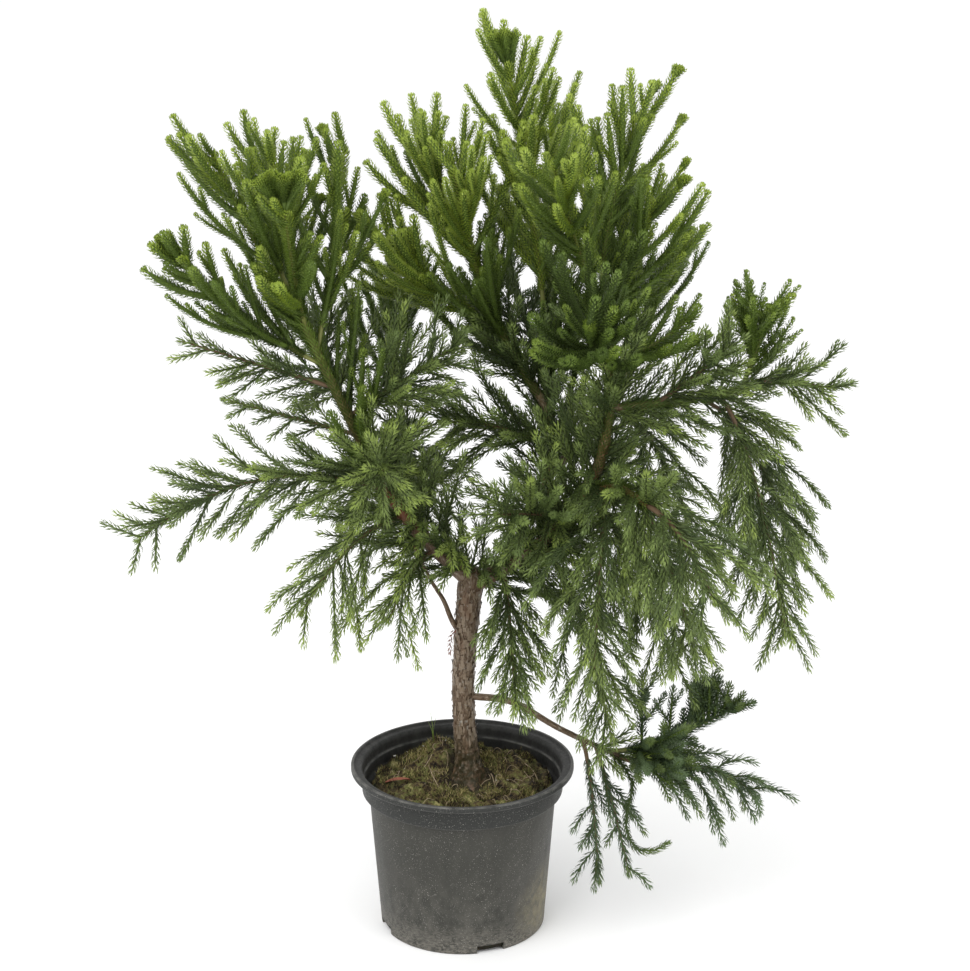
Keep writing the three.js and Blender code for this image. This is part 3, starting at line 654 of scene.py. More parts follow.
class Space:
    """The balls that limbs, stems and shoots fill. They keep pieces out of each other's way."""

    def __init__(self):
        self.centres = np.zeros((0, 3))
        self.radii = np.zeros(0)
        self.owners = np.zeros(0, int)

    def take(self, owner, centres, radii):
        self.centres = np.vstack([self.centres, centres])
        self.radii = np.append(self.radii, radii)
        self.owners = np.append(self.owners, np.full(len(radii), owner))

    def is_free(self, owner, centres, radii, gap, interlace=INTERLACE):
        inside = np.hypot(centres[:, 0], centres[:, 1]) <= LIP_RADIUS + radii + gap
        if np.any(centres[:, 2] < radii) or np.any(inside & (centres[:, 2] < POT_HEIGHT + radii + gap)):
            return False
        middle = centres.mean(axis=0)
        far = np.linalg.norm(centres - middle, axis=1).max() + radii.max() + self.radii.max() + gap
        near = np.linalg.norm(self.centres - middle, axis=1) < far
        apart = np.linalg.norm(centres[:, None] - self.centres[near], axis=2)
        reach = radii[:, None] + self.radii[near]
        least = np.where(self.owners[near] == owner, reach * interlace, reach + gap)
        return not np.any(apart < least)


def balls(curve, radii, begin=0):
    """Balls along a curve from a share onwards, by its radius at shares of its length."""
    count = math.ceil(curve.length / SAMPLE_STEP)
    shares = np.arange(math.ceil(begin * count), count + 1) / count
    return curve.points(shares), read_at(radii, shares)


def stem_curve(mass, limbs):
    """From its limb's axis, or from just past the limb's tip, to the mass's own tip."""
    limb = limbs[mass.limb]
    end = np.array(mass.tip, float)
    start = limb.points(mass.at)[0]
    if mass.at < 1:
        middle = (start + end) / 2 + UP * mass.arch * np.linalg.norm(end - start)
        return bezier(start, middle, end)
    onward = limb.tangents(1)[0]
    start = start + onward * CLEARANCE
    span = np.linalg.norm(end - start)
    approach = end + (start - end) / 3 + UP * max(0, mass.arch) * span
    return bezier(start, start + onward * span / 3, approach, end)


def crest_frame(mass):
    """Where a crest stands on its stem, and the directions up the fan, across it and through it."""
    at = mass.crest[1]
    along = mass.stem.tangents(at)[0]
    across = unit(np.array((1.0, 0, 0)) - along * along[0])
    return mass.stem.points(at)[0], along, across, np.cross(across, along)


def crest_balls(mass):
    foot, along, across, _ = crest_frame(mass)
    spread = np.array(CREST_BALLS)[:, None] * across * mass.crest[0] / 2
    centres = foot + along * CREST_BALLS_RISE * CREST_HEIGHT + spread
    return centres, np.full(len(CREST_BALLS), float(CREST_THICKNESS))


def fan_shoots(foot, along, across, through, width, height, random):
    """Shoots that lie side by side in a ruffled fan, as a fasciated tip does."""
    for side in np.linspace(-1, 1, int(width / CREST_SHOOT_PITCH)):
        edge = 1 - CREST_DROOP * side * side + CREST_SCALLOP * math.cos(side * CREST_SCALLOPS)
        ruffle = CREST_RUFFLE * width * math.sin(side * CREST_RUFFLES + CREST_RUFFLE_START)
        spread = across * side * width / 2 + through * ruffle
        rise = along * height * edge * random.uniform(*CREST_RAGGED)
        elbow = foot + rise * CREST_ELBOW[0] + spread * CREST_ELBOW[1]
        yield bezier(foot, elbow, foot + rise + spread)


def draw(mass, number, which):
    """One of the numbers from 0 to 1 that stay with a shoot."""
    return chance(mass.seed, number * DRAWS_PER_SHOOT + which)


def directions_across(along, outward):
    """Two directions across a twig: sideways, and the upper one that faces outward."""
    sideways = unit(np.cross(along, outward))
    return sideways, np.cross(sideways, along)


def bent(start, aim, onward, length):
    """A curve that leaves by one direction and goes on by another from its elbow."""
    elbow = start + aim * length / 2
    return bezier(start, elbow, elbow + unit(onward) * length / 2)


def shoot_curve(mass, number, place, shortened):
    """It leaves the stem at an angle, on a side set by its turn, then rises or hangs."""
    share = mix(mass.bare, mass.full, place)
    along = mass.stem.tangents(share)[0]
    start = mass.stem.points(share)[0]
    sideways, upper = directions_across(along, unit(start * (1, 1, 0)) + UP)
    stray = draw(mass, number, DRAWS.turn)
    flat = (number % 2) * math.pi + stray - 0.5
    turn = mix(flat, number * GOLDEN_ANGLE + stray, mass.round)
    splay = math.radians(mass.splay * mix(*SPLAY_SPREAD, draw(mass, number, DRAWS.splay)))
    aim = swing(along, swing(sideways, upper, turn), splay)
    spread = mix(*LENGTH_SPREAD, draw(mass, number, DRAWS.length))
    length = mass.reach * (1 - mass.taper * share) * spread * shortened
    return bent(start, aim, aim + UP * mass.rise, length)


def plan_masses(limbs):
    """Every mass with its rule, its stem and how many shoots it has room to try."""
    masses = []
    for name, (limb, at, tip, habit, own) in MASSES.items():
        rule = {"crest": 0, "full": 1, **HABITS[habit], **LOOKS[habit], **OWN_LOOKS.get(name, {}), **own}
        mass = SimpleNamespace(name=name, limb=limb, at=at, tip=tip, habit=habit, seed=seed_of(name), **rule)
        mass.stem = stem_curve(mass, limbs)
        mass.shoots = math.floor(mass.stem.length * (1 - mass.bare) / mass.spacing + 0.5)
        mass.most = int(mass.shoots * (1 + EXTRAS.get(name, mass.extra)))
        mass.kept = []
        masses.append(mass)
    return masses


def plan_clothing(limbs):
    """The shoots that a limb itself bears, as masses whose stem is the limb."""
    clothing = []
    for name, rows in CLOTHING.items():
        stem = limbs[name]
        for i, (habit, bare, full, reach) in enumerate(rows):
            own = {"crest": 0, "bare": bare, "full": full, "reach": reach, "taper": CLOTHING_TAPER}
            rule = {**HABITS[habit], **LOOKS[habit], **own}
            seed = seed_of(f"{name}_{habit}_{i}")
            mass = SimpleNamespace(name=f"{name}_{habit}", limb=None, habit=habit, seed=seed, **rule)
            mass.stem = stem
            mass.shoots = 0
            mass.most = int(stem.length * (full - bare) / CLOTHING_SPACING)
            mass.kept = []
            clothing.append(mass)
    return clothing


def grow_masses(limbs):
    """Every mass takes its shoots in turn, first those of the solids, then finer ones between them."""
    masses = plan_masses(limbs)
    wood = [balls(curve, LIMBS[name][1]) for name, curve in limbs.items()]
    space = Space()
    for i, room in enumerate(wood):
        space.take(-1 - i, *room)
    for i, mass in enumerate(masses):
        space.take(i, *balls(mass.stem, stem_radii(mass.stem.length, mass), TWIG_ROOT))
        if mass.crest:
            space.take(i, *crest_balls(mass))
    for number in range(max(mass.shoots for mass in masses)):
        for i, mass in enumerate(masses):
            if number >= mass.shoots:
                continue
            stray = SPACING_SPREAD * (draw(mass, number, DRAWS.place) - 0.5)
            for shortened in SHORTENED:
                curve = shoot_curve(mass, number, (number + 0.5 + stray) / mass.shoots, shortened)
                room = balls(curve, shoot_radii(curve.length, mass), TWIG_ROOT)
                if space.is_free(i, *room, ELBOW_ROOM):
                    space.take(i, *room)
                    mass.kept.append(curve)
                    break

    fine = Space()
    for room in wood:
        fine.take(0, *room)
    for mass in masses:
        for curve in [mass.stem, *mass.kept]:
            fine.take(0, *balls(curve, [(0, mass.brush)], TWIG_ROOT))
    growing = masses + plan_clothing(limbs)
    for number in range(max(mass.most for mass in growing)):
        for mass in growing:
            if not mass.shoots <= number < mass.most:
                continue
            size = mix(*FINER_SPREAD, draw(mass, number, DRAWS.finer))
            for shortened in SHORTENED:
                curve = shoot_curve(mass, number, number * GOLDEN_SHARE % 1, shortened * size)
                room = balls(curve, [(0, mass.brush)], FINER_ROOT)
                if fine.is_free(0, *room, 0, FINER_INTERLACE):
                    fine.take(0, *room)
                    mass.kept.append(curve)
                    break
    return growing


# Meshes


def make_piece(name, points, faces, material, slot, smooth=True):
    """A piece from points in millimetres and faces of equally many corners, both as arrays."""
    mesh = bpy.data.meshes.new(name)
    mesh.vertices.add(len(points))
    mesh.vertices.foreach_set("co", np.ascontiguousarray(points * MM, np.float32).ravel())
    mesh.loops.add(faces.size)
    mesh.loops.foreach_set("vertex_index", np.ascontiguousarray(faces, np.int32).ravel())
    mesh.polygons.add(len(faces))
    mesh.polygons.foreach_set("loop_start", np.arange(0, faces.size, faces.shape[1], dtype=np.int32))
    mesh.polygons.foreach_set("use_smooth", np.full(len(faces), smooth))
    mesh.update(calc_edges=True)
    mesh.validate()
    mesh.materials.append(material)
    piece = bpy.data.objects.new(name, mesh)
    bpy.context.collection.objects.link(piece)
    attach(piece, "root")
    return piece


class Heap:
    """Points and faces of many small things, to be joined into one piece."""

    def __init__(self):
        self.points = []
        self.faces = []
        self.count = 0

    def add(self, points, faces):
        self.points.append(points)
        self.faces.append(faces + self.count)
        self.count += len(points)

    def joined(self):
        return np.vstack(self.points), np.vstack(self.faces)


def grid_faces(rows, columns, wrap=False):
    """Quads between the rows of a grid, closed round its columns if it wraps."""
    row = np.arange(rows - 1)[:, None] * columns
    column = np.arange(columns if wrap else columns - 1)
    after = (column + 1) % columns
    quads = np.stack([row + column, row + after, row + columns + after, row + columns + column], axis=-1)
    return quads.reshape(-1, 4)


def tube(curve, shares, radii, sides):
    """Points and quads of an open tube round a curve, with a radius at each of its shares."""
    points, _, side, out = curve.frames(shares)
    ring = swings(side[:, None], out[:, None], turns(sides))
    rings = points[:, None] + ring * np.asarray(radii)[:, None, None]
    return rings.reshape(-1, 3), grid_faces(len(points), sides, wrap=True)


# Needles


def needle_points(base, along, away, length, wide, opens, closes):
    """Points of needles that leave a twig at the angle opens and bend in to closes."""
    size = length[:, None]
    middle = base + swings(along, away, opens) * size * NEEDLE_BEND
    tip = middle + swings(along, away, closes) * size * (1 - NEEDLE_BEND)
    half = np.cross(along, away) * wide[:, None] / 2
    return np.stack([base, middle - half, middle + half, tip], axis=1)


def needle_mesh(needles):
    faces = NEEDLE_FACES + np.arange(len(needles))[:, None, None] * needles.shape[1]
    return needles.reshape(-1, 3), faces.reshape(-1, 3)


def add_needles(heaps, curve, begin, look, tints, random, size=1):
    """Covers a twig with needles from a share onwards. tints are the names of its tints from tip to foot."""
    count = int(curve.length * (1 - begin) * look.per_mm)
    if count < FEWEST_NEEDLES:
        return
    number = np.arange(count)
    shares = begin + (1 - begin) * (number + random.uniform(0, 1, count)) / count
    points, along, side, out = curve.frames(shares)
    away = swings(side, out, number * GOLDEN_ANGLE + random.uniform(0, FIRST_TURN))
    to_tip = (1 - shares) * curve.length
    length = look.needle * np.clip(TIP_LENGTH + to_tip / TIP_OVER, 0, 1)
    length = length * random.uniform(*NEEDLE_LENGTHS, count) * size
    wide = look.wide * random.uniform(*NEEDLE_WIDTHS, count)
    opens = look.opens * np.clip(TIP_OPENS + to_tip / TIP_OVER, 0, 1)
    opens = np.radians(opens + random.uniform(-NEEDLE_OPENS, NEEDLE_OPENS, count))
    closes = look.closes * np.clip(to_tip / TIP_CLOSES_OVER, 0, 1)
    closes = np.radians(closes + random.uniform(-NEEDLE_CLOSES, NEEDLE_CLOSES, count))
    root = points + away * look.core * size * NEEDLE_ROOT
    made = needle_points(root, along, away, length, wide, opens, closes)
    stage = np.digitize(to_tip * random.uniform(*BAND_SPREAD, count), getattr(look, "bands", TINT_BANDS))
    for i, tint in enumerate(tints):
        heaps[tint].append(made[stage == i])


def add_dome(heaps, curve, look, tint, size):
    """Closes the blunt tip of a shoot with short needles that lean in over it."""
    point, along, side, out = (row[1] for row in curve.frames([0, 1]))
    away = swings(side, out, np.arange(DOME_NEEDLES) * GOLDEN_ANGLE)
    spread = np.sqrt(np.linspace(0, 1, DOME_NEEDLES))
    root = point + away * (spread * look.core * size)[:, None]
    length = np.full(DOME_NEEDLES, DOME_LENGTH * look.needle * size)
    wide = np.full(DOME_NEEDLES, look.wide * size)
    opens = np.radians(DOME_OPENS * spread)
    heaps[tint].append(needle_points(root, along, away, length, wide, opens, -opens / 4))


def spray_tints(mass, curve, random):
    """The tints of one spray from its tips to its foot: lighter in the crown's top than in its shade."""
    fresh = mass.habit == "upright" and mass.name not in DEEP_UPRIGHT
    names = [tint for tint in TINTS if tint.startswith("fresh" if fresh else "deep")]
    shade = np.interp(curve.points(1)[0, 2], SHADE_HEIGHTS, (2, 1, 0)) + random.normal(0, SHADE_SPREAD)
    by_height = ("light", "fresh", "shaded")[int(np.clip(shade + 0.5, 0, 2))]
    tone = TONES.get(mass.name, by_height if fresh else "deep")
    return [names[i] for i in random.choice(TINT_SPANS[tone])]


def side_twigs(mass, curve, random):
    """Finer twigs on a shoot: all round it on upright ones, in a flat spray on the others."""
    count = min(mass.side_most, max(0, int((curve.length - SIDE_BARE) / mass.side_spacing)))
    for i in range(count):
        share = mix(*SIDE_SHARES, (i + random.uniform(*SIDE_STRAY)) / count)
        along = curve.tangents(share)[0]
        start = curve.points(share)[0]
        turn = i * mass.side_step + random.uniform(-SIDE_TURN, SIDE_TURN)
        side = swing(*directions_across(along, SIDE_UP), turn)
        aim = swing(along, side, math.radians(mass.side_angle * random.uniform(*SIDE_SPLAY)))
        length = mass.side_least + mass.side_share * curve.length * (1 - share)
        onward = aim + along * SIDE_ONWARD + UP * mass.rise * SIDE_RISE
        yield bent(start, aim, onward, length * random.uniform(*SIDE_LENGTHS))


def add_wood(heap, curve, foot, tip, sides):
    steps = max(3, int(curve.length / WOOD_STEP))
    shares = np.linspace(0, 1, steps + 1)
    radii = mix(foot, tip, shares)
    radii[-1] *= WOOD_TIP
    heap.add(*tube(curve, shares, radii, sides))


def add_fan(heaps, twigs, shoots, random):
    for curve in shoots:
        add_wood(twigs, curve, *FAN_WOOD)
        add_needles(heaps, curve, FAN_NEEDLES_FROM, FAN_LOOK, FAN_TINTS, random)


def add_shoot(heaps, twigs, mass, curve, random):
    """A shoot with its needles, its finer twigs and, by chance, a fan at its tip."""
    upright = mass.habit == "upright"
    domed = upright and mass.name not in DEEP_UPRIGHT
    tints = spray_tints(mass, curve, random)
    size = random.uniform(*SHOOT_SIZES) if upright else 1
    sides = SHOOT_SIDES[upright]
    add_wood(twigs, curve, mass.core * size + SHOOT_FOOT, mass.core * size, sides)
    add_needles(heaps, curve, SHOOT_NEEDLES_FROM, mass, tints, random, size)
    if domed:
        add_dome(heaps, curve, mass, tints[0], size)
    if upright and mass.name not in FANLESS and random.uniform() < FAN_TIPS:
        frame_at_tip = (row[-1] for row in curve.frames([0, FAN_AT]))
        fan = fan_shoots(*frame_at_tip, random.uniform(*FAN_WIDTH), FAN_HEIGHT, random)
        add_fan(heaps, twigs, fan, random)
    slim = size * TWIG_SIZE
    for twig in side_twigs(mass, curve, random):
        add_wood(twigs, twig, mass.core * slim, mass.core * slim * TWIG_TIP, sides - 1)
        add_needles(heaps, twig, TWIG_NEEDLES_FROM, mass, tints, random, slim)
        if domed:
            add_dome(heaps, twig, mass, tints[0], slim)


def foliage(masses, limbs):
    """The stems, shoots, finer twigs and needles of every mass and limb, each kind joined."""
    heaps = {tint: [] for tint in TINTS}
    wood = {name: Heap() for name in WOODS}
    for mass in masses:
        random = np.random.default_rng(mass.seed)
        upright = mass.habit == "upright"
        # Dark-toned masses get darker cores: painted shade
        fresh = "shoots_dark" if TONES.get(mass.name) == "dark" else "shoots_fresh"
        twigs = wood[fresh if upright else "shoots_deep"]
        if mass.limb:
            stems = wood["stems_young" if upright else "stems_old"]
            add_wood(stems, mass.stem, STEM_FEET[mass.at == 1], STEM_TIP, STEM_SIDES)
            for _ in range(STEM_COATS):
                tints = spray_tints(mass, mass.stem, random)
                add_needles(heaps, mass.stem, STEM_NEEDLES_FROM, mass, tints, random)
        for curve in mass.kept:
            add_shoot(heaps, twigs, mass, curve, random)
        if mass.crest:
            fan = fan_shoots(*crest_frame(mass), mass.crest[0] * CREST_NARROW, CREST_HEIGHT, random)
            add_fan(heaps, twigs, fan, random)
    curl = spline(CURL_PATH)
    add_wood(wood["shoots_deep"], curl, *CURL_WOOD)
    random = np.random.default_rng(seed_of("curl"))
    add_needles(heaps, curl, SHOOT_NEEDLES_FROM, CURL_LOOK, CURL_TINTS, random)
    for name, begin in NEEDLED_FROM.items():
        random = np.random.default_rng(seed_of(name))
        add_needles(heaps, limbs[name], begin, LIMB_LOOK, LIMB_TINTS, random)
    return heaps, wood


# Materials


def plain_material(name, colour, roughness, shine=PLAIN_SHINE):
    material = bpy.data.materials.new(name)
    material.use_nodes = True
    shader = material.node_tree.nodes["Principled BSDF"]
    shader.inputs["Base Color"].default_value = (*colour, 1)
    shader.inputs["Roughness"].default_value = roughness
    shader.inputs["Specular IOR Level"].default_value = shine
    return material


def foliage_material(name, colour):
    """Dark needles are dull, or white light would wash them out."""
    return plain_material(name, colour, NEEDLE_ROUGHNESS, min(PLAIN_SHINE, SHINE_BY_GREEN * colour[1]))


class Shading:
    """A procedural material. Its nodes read places in metres and the values that vertices carry."""

    def __init__(self, name, shine=PLAIN_SHINE):
        self.material = bpy.data.materials.new(name)
        self.material.use_nodes = True
        self.tree = self.material.node_tree
        self.shader = self.tree.nodes["Principled BSDF"]
        self.shader.inputs["Specular IOR Level"].default_value = shine
        self.place = self.add("TexCoord").outputs["Object"]

    def feed(self, socket, value):
        if isinstance(value, bpy.types.NodeSocket):
            self.tree.links.new(value, socket)
        else:
            socket.default_value = value

    def add(self, kind, inputs=None, **settings):
        node = self.tree.nodes.new("ShaderNode" + kind)
        for key, value in settings.items():
            setattr(node, key, value)
        for key, value in (inputs or {}).items():
            self.feed(node.inputs[key], value)
        return node

    def carried(self, name):
        """A value that the vertices carry."""
        return self.add("Attribute", attribute_name=name).outputs["Fac"]

    def height(self):
        return self.add("SeparateXYZ", {0: self.place}).outputs["Z"]

    def away(self, centre):
        """Distance from a place in millimetres."""
        point = tuple(value * MM for value in centre)
        return self.add("VectorMath", {0: self.place, 1: point}, operation="DISTANCE").outputs["Value"]

    def noise(self, size, stretch=1, detail=3):
        """Noise from 0 to 1 with swells of a size in millimetres, drawn out along Z."""
        by = (1, 1, 1 / stretch)
        drawn = self.add("VectorMath", {0: self.place, 1: by}, operation="MULTIPLY").outputs[0]
        inputs = {"Vector": drawn, "Scale": 1 / (size * MM), "Detail": detail}
        return self.add("TexNoise", inputs).outputs["Fac"]

    def between(self, value, low, high):
        """0 where a value is at low, 1 where it is at high, and even in between."""
        return self.add("MapRange", {"Value": value, "From Min": low, "From Max": high}).outputs["Result"]

    def near(self, value, centre, half):
        """1 where a value in metres is at a centre in millimetres, 0 where it is half or more away."""
        gap = self.add("Math", {0: value, 1: centre * MM}, operation="SUBTRACT").outputs[0]
        gap = self.add("Math", {0: gap}, operation="ABSOLUTE").outputs[0]
        return self.between(gap, half * MM, 0)

    def sum(self, first, second, share=0.5):
        """Part of one value and part of another."""
        return self.add("Mix", {0: share, 2: first, 3: second}, data_type="FLOAT").outputs[0]

    def both(self, first, second):
        return self.add("Math", {0: first, 1: second}, operation="MULTIPLY").outputs[0]

    def ramp(self, value, stops):
        """Colours by a value, from (value, colour) stops."""
        node = self.add("ValToRGB", {"Fac": value})
        elements = node.color_ramp.elements
        elements.remove(elements[1])
        elements[0].position = stops[0][0]
        elements[0].color = (*stops[0][1], 1)
        for place, colour in stops[1:]:
            elements.new(place).color = (*colour, 1)
        return node.outputs["Color"]

    def over(self, share, under, colour):
        """A colour laid over another by a share."""
        return self.add("Mix", {0: share, 6: under, 7: (*colour, 1)}, data_type="RGBA").outputs[2]

    def stained_or_painted_light(self, under, where, colour, noise, span):
        """A colour laid over another at a place, broken up by noise within a span."""
        return self.over(self.both(where, self.between(self.noise(*noise), *span)), under, colour)

    def finish(self, colour, roughness, bump, depth):
        """Joins colour, roughness and a bump of some depth in millimetres to the shader."""
        normal = self.add("Bump", {"Height": bump, "Distance": depth * MM}).outputs["Normal"]
        self.feed(self.shader.inputs["Base Color"], colour)
        self.feed(self.shader.inputs["Roughness"], roughness)
        self.feed(self.shader.inputs["Normal"], normal)
        return self.material


def bark_material():
    look = Shading("bark", shine=0.25)
    fibres = look.noise(0.9, 3, 4)
    tone = look.sum(look.carried("relief"), fibres, 0.4)
    stops = [
        (0.14, (0.036, 0.023, 0.013)), (0.36, (0.108, 0.070, 0.042)), (0.56, (0.176, 0.125, 0.082)),
        (0.74, (0.285, 0.226, 0.163)),
    ]
    colour = look.ramp(tone, stops)
    reddish = look.between(look.noise(14, 2, 2), 0.52, 0.8)
    colour = look.over(reddish, colour, (0.165, 0.086, 0.046))
    lichen = look.between(look.noise(4, 1.2, 3), 0.62, 0.75)
    colour = look.over(lichen, colour, (0.330, 0.310, 0.265))
    colour = look.over(look.carried("youth"), colour, (0.150, 0.140, 0.040))
    colour = look.stained_or_painted_light(colour, look.near(look.height(), *FORK_BAND), *BARK_STAINS["forks"])
    foot = look.between(look.height(), BARK_FOOT[1] * MM, BARK_FOOT[0] * MM)
    colour = look.stained_or_painted_light(colour, foot, *BARK_STAINS["moss"])
    return look.finish(colour, look.between(tone, 1.2, -0.6), look.sum(fibres, look.noise(0.5, 6)), 0.5)


def pot_material():
    look = Shading("charcoal_plastic", shine=0.3)
    height = look.height()
    grain = look.noise(1.6, 1, 4)
    streaks = look.sum(look.noise(7, 6), look.noise(26, 1.5))
    colour = look.ramp(streaks, [(0.3, (0.027, 0.027, 0.022)), (0.7, (0.045, 0.044, 0.037))])
    above_shoulder = look.between(height, 0.139, 0.144)
    colour = look.over(above_shoulder, colour, (0.021, 0.022, 0.020))
    stains_and_sheen = {
        "dust": look.between(height, 0.1, -0.01),
        # A pale patch on the pot's right side: painted light falling from the right
        "painted_sheen_at_side": look.between(look.away((110, -20, 80)), 0.1, 0.02),
        "splashes": look.between(height, 0.034, 0.004),
        "algae": look.between(look.away((80, -30, 34)), 0.05, 0.006),
        "specks": look.between(look.noise(0.9, 1, 1), 0.68, 0.73),
    }
    for name, where in stains_and_sheen.items():
        colour = look.stained_or_painted_light(colour, where, *POT_STAINS_AND_PAINTED_LIGHT[name])
    # Pale lines along the edges of the lip and collar: painted highlights
    for edge, half in PAINTED_HIGHLIGHT_EDGES:
        colour = look.stained_or_painted_light(colour, look.near(height, edge, half), *POT_STAINS_AND_PAINTED_LIGHT["edge_highlight"])
    return look.finish(colour, look.between(look.sum(streaks, grain), -0.15, 1.05), grain, 0.12)


def pot_inside_material():
    look = Shading("charcoal_plastic_inside_shaded")
    grain = look.noise(2.2, 1, 4)
    # The inside is the same plastic painted darker than the outside: painted shade inside the pot
    colour = look.ramp(look.noise(9, 2), [(0.3, (0.012, 0.012, 0.011)), (0.75, (0.034, 0.034, 0.031))])
    # A pale line along the inner ledge: painted highlight
    colour = look.stained_or_painted_light(colour, look.near(look.height(), INNER_LEDGE[1], 1.2), *POT_STAINS_AND_PAINTED_LIGHT["ledge_highlight"])
    return look.finish(colour, look.between(grain, -0.5, 1), grain, 0.15)


def moss_material():
    look = Shading("mossy_compost", shine=0.2)
    patches = look.sum(look.noise(15, 1, 3), look.noise(3.2, 1, 4), 0.45)
    stops = [
        (0.39, (0.008, 0.006, 0.004)), (0.46, (0.060, 0.042, 0.021)), (0.51, (0.130, 0.104, 0.042)),
        (0.56, (0.098, 0.112, 0.030)), (0.62, (0.270, 0.236, 0.100)),
    ]
    colour = look.ramp(patches, stops)
    colour = look.over(look.carried("bare"), colour, (0.020, 0.015, 0.010))
    # The compost goes darker towards the pot's wall: painted shade where the wall shades it
    rim = look.between(look.away((0, 0, SOIL_LEVEL)), 0.06, 0.092)
    colour = look.stained_or_painted_light(colour, rim, *SOIL_PAINTED_SHADE["rim"])
    straw = look.between(look.noise(1.4, 1, 1), 0.72, 0.78)
    colour = look.over(straw, colour, (0.300, 0.250, 0.150))
    fine = look.sum(look.noise(1, 1, 4), look.noise(2.6, 1, 3))
    return look.finish(colour, look.between(fine, -1.2, 0.9), fine, 1.2)


def litter_material(name):
    light, dark = LITTER[name]
    look = Shading(name)
    grain = look.noise(2.5, 1, 4)
    colour = look.ramp(grain, [(0.3, dark), (0.7, light)])
    return look.finish(colour, look.between(grain, -1, 0.9), grain, 0.4)


# Pieces


def carry(piece, name, values):
    """Gives each vertex of a piece a value of its own."""
    piece.data.attributes.new(name, "FLOAT", "POINT").data.foreach_set("value", values.astype(np.float32))


def rounded(outline, cut):
    """An outline whose inner corners are cut back and rounded."""
    points = [np.array(point, float) for point in outline]
    made = [points[0]]
    for before, corner, after in zip(points, points[1:], points[2:]):
        legs = [end - corner for end in (before, after)]
        legs = [leg * min(CORNER_MOST, cut / np.linalg.norm(leg)) for leg in legs]
        for t in np.linspace(0, 1, CORNER_ROWS):
            made.append(corner + legs[0] * (1 - t) ** 2 + legs[1] * t * t)
    return np.array(made + [points[-1]])


def divided(outline, longest):
    """An outline whose long spans are cut in even steps."""
    made = [outline[0]]
    for before, after in zip(outline, outline[1:]):
        steps = math.ceil(np.linalg.norm(after - before) / longest)
        made += [mix(before, after, step / steps) for step in range(1, steps + 1)]
    return np.array(made)


def lathe(outline, sides):
    """Points and quads of an outline of (radius, height) pairs turned about Z."""
    turn = turns(sides)
    radius, height = np.asarray(outline, float).T
    rows = [np.outer(radius, np.cos(turn)), np.outer(radius, np.sin(turn)), np.outer(height, np.ones(sides))]
    return np.stack(rows, axis=-1).reshape(-1, 3), grid_faces(len(outline), sides, wrap=True)


def close_ends(piece, sides):
    """Closes the first and last ring of a turned piece."""
    work = bmesh.new()
    work.from_mesh(piece.data)
    work.verts.ensure_lookup_table()
    work.faces.new([work.verts[i] for i in range(sides)])
    work.faces.new([work.verts[i] for i in range(-sides, 0)])
    bmesh.ops.recalc_face_normals(work, faces=work.faces)
    work.to_mesh(piece.data)
    work.free()


def pot_radius(height):
    return mix(POT_FOOT_RADIUS, POT_SHOULDER_RADIUS, height / POT_SHOULDER_HEIGHT)


def pot_outline():
    """From the middle of the underside up the outside, over the lip and down to the middle of the floor."""
    lip_foot = POT_HEIGHT - LIP_THICKNESS
    groove = POT_HEIGHT - LIP_GROOVE
    bead = LIP_RADIUS - LIP_BEAD
    neck = COLLAR_RADIUS - LIP_STEP
    ledge_radius, ledge_height = INNER_LEDGE
    return [
        (POT_MIDDLE, 0), (POT_FOOT_RADIUS, 0), (POT_SHOULDER_RADIUS, POT_SHOULDER_HEIGHT),
        (COLLAR_RADIUS, COLLAR_HEIGHT), (COLLAR_RADIUS, lip_foot), (LIP_RADIUS, lip_foot),
        (LIP_RADIUS, POT_HEIGHT), (bead, POT_HEIGHT), (bead - LIP_STEP, groove),
        (COLLAR_RADIUS + LIP_STEP, groove), (neck, lip_foot), (neck, ledge_height + LIP_STEP),
        (ledge_radius, ledge_height), (ledge_radius, COLLAR_HEIGHT + POT_WALL),
        (POT_SHOULDER_RADIUS - POT_WALL, POT_SHOULDER_HEIGHT), (pot_radius(POT_FLOOR) - POT_WALL, POT_FLOOR),
        (POT_MIDDLE, POT_FLOOR),
    ]


def make_pot():
    turned = divided(rounded(pot_outline(), LIP_ROUND), POT_ROW)
    points, faces = lathe(turned, POT_SIDES)
    pot = make_piece("pot_shell", points, faces, pot_material(), "plastic")
    pot.data.materials.append(pot_inside_material())
    last_at_top = np.flatnonzero(turned[:, 1] > POT_HEIGHT - POT_TOP_WITHIN)[-1]
    row = np.arange(len(faces)) // POT_SIDES
    pot.data.polygons.foreach_set("material_index", (row > last_at_top).astype(np.int32))
    close_ends(pot, POT_SIDES)
    cutters = []
    for drain in range(DRAIN_COUNT):
        bpy.ops.mesh.primitive_cube_add(size=1)
        cutter = bpy.context.object
        turn = math.radians(DRAIN_FIRST_ANGLE + 360 / DRAIN_COUNT * drain)
        cutter.scale = np.array((DRAIN_DEPTH, DRAIN_WIDTH, DRAIN_HEIGHT * 2)) * MM
        cutter.location = np.array((math.cos(turn), math.sin(turn), 0)) * POT_FOOT_RADIUS * MM
        cutter.rotation_euler = (0, 0, turn)
        modifier = pot.modifiers.new("drain", "BOOLEAN")
        modifier.object = cutter
        cutters.append(cutter)
    cut = bpy.data.meshes.new_from_object(pot.evaluated_get(bpy.context.evaluated_depsgraph_get()))
    pot.modifiers.clear()
    pot.data = cut
    for cutter in cutters:
        bpy.data.objects.remove(cutter)
    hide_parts("pot")


def soil_radius(height):
    """The compost's radius at a height, just clear of the pot's wall."""
    return pot_radius(height) - POT_WALL - CLEARANCE


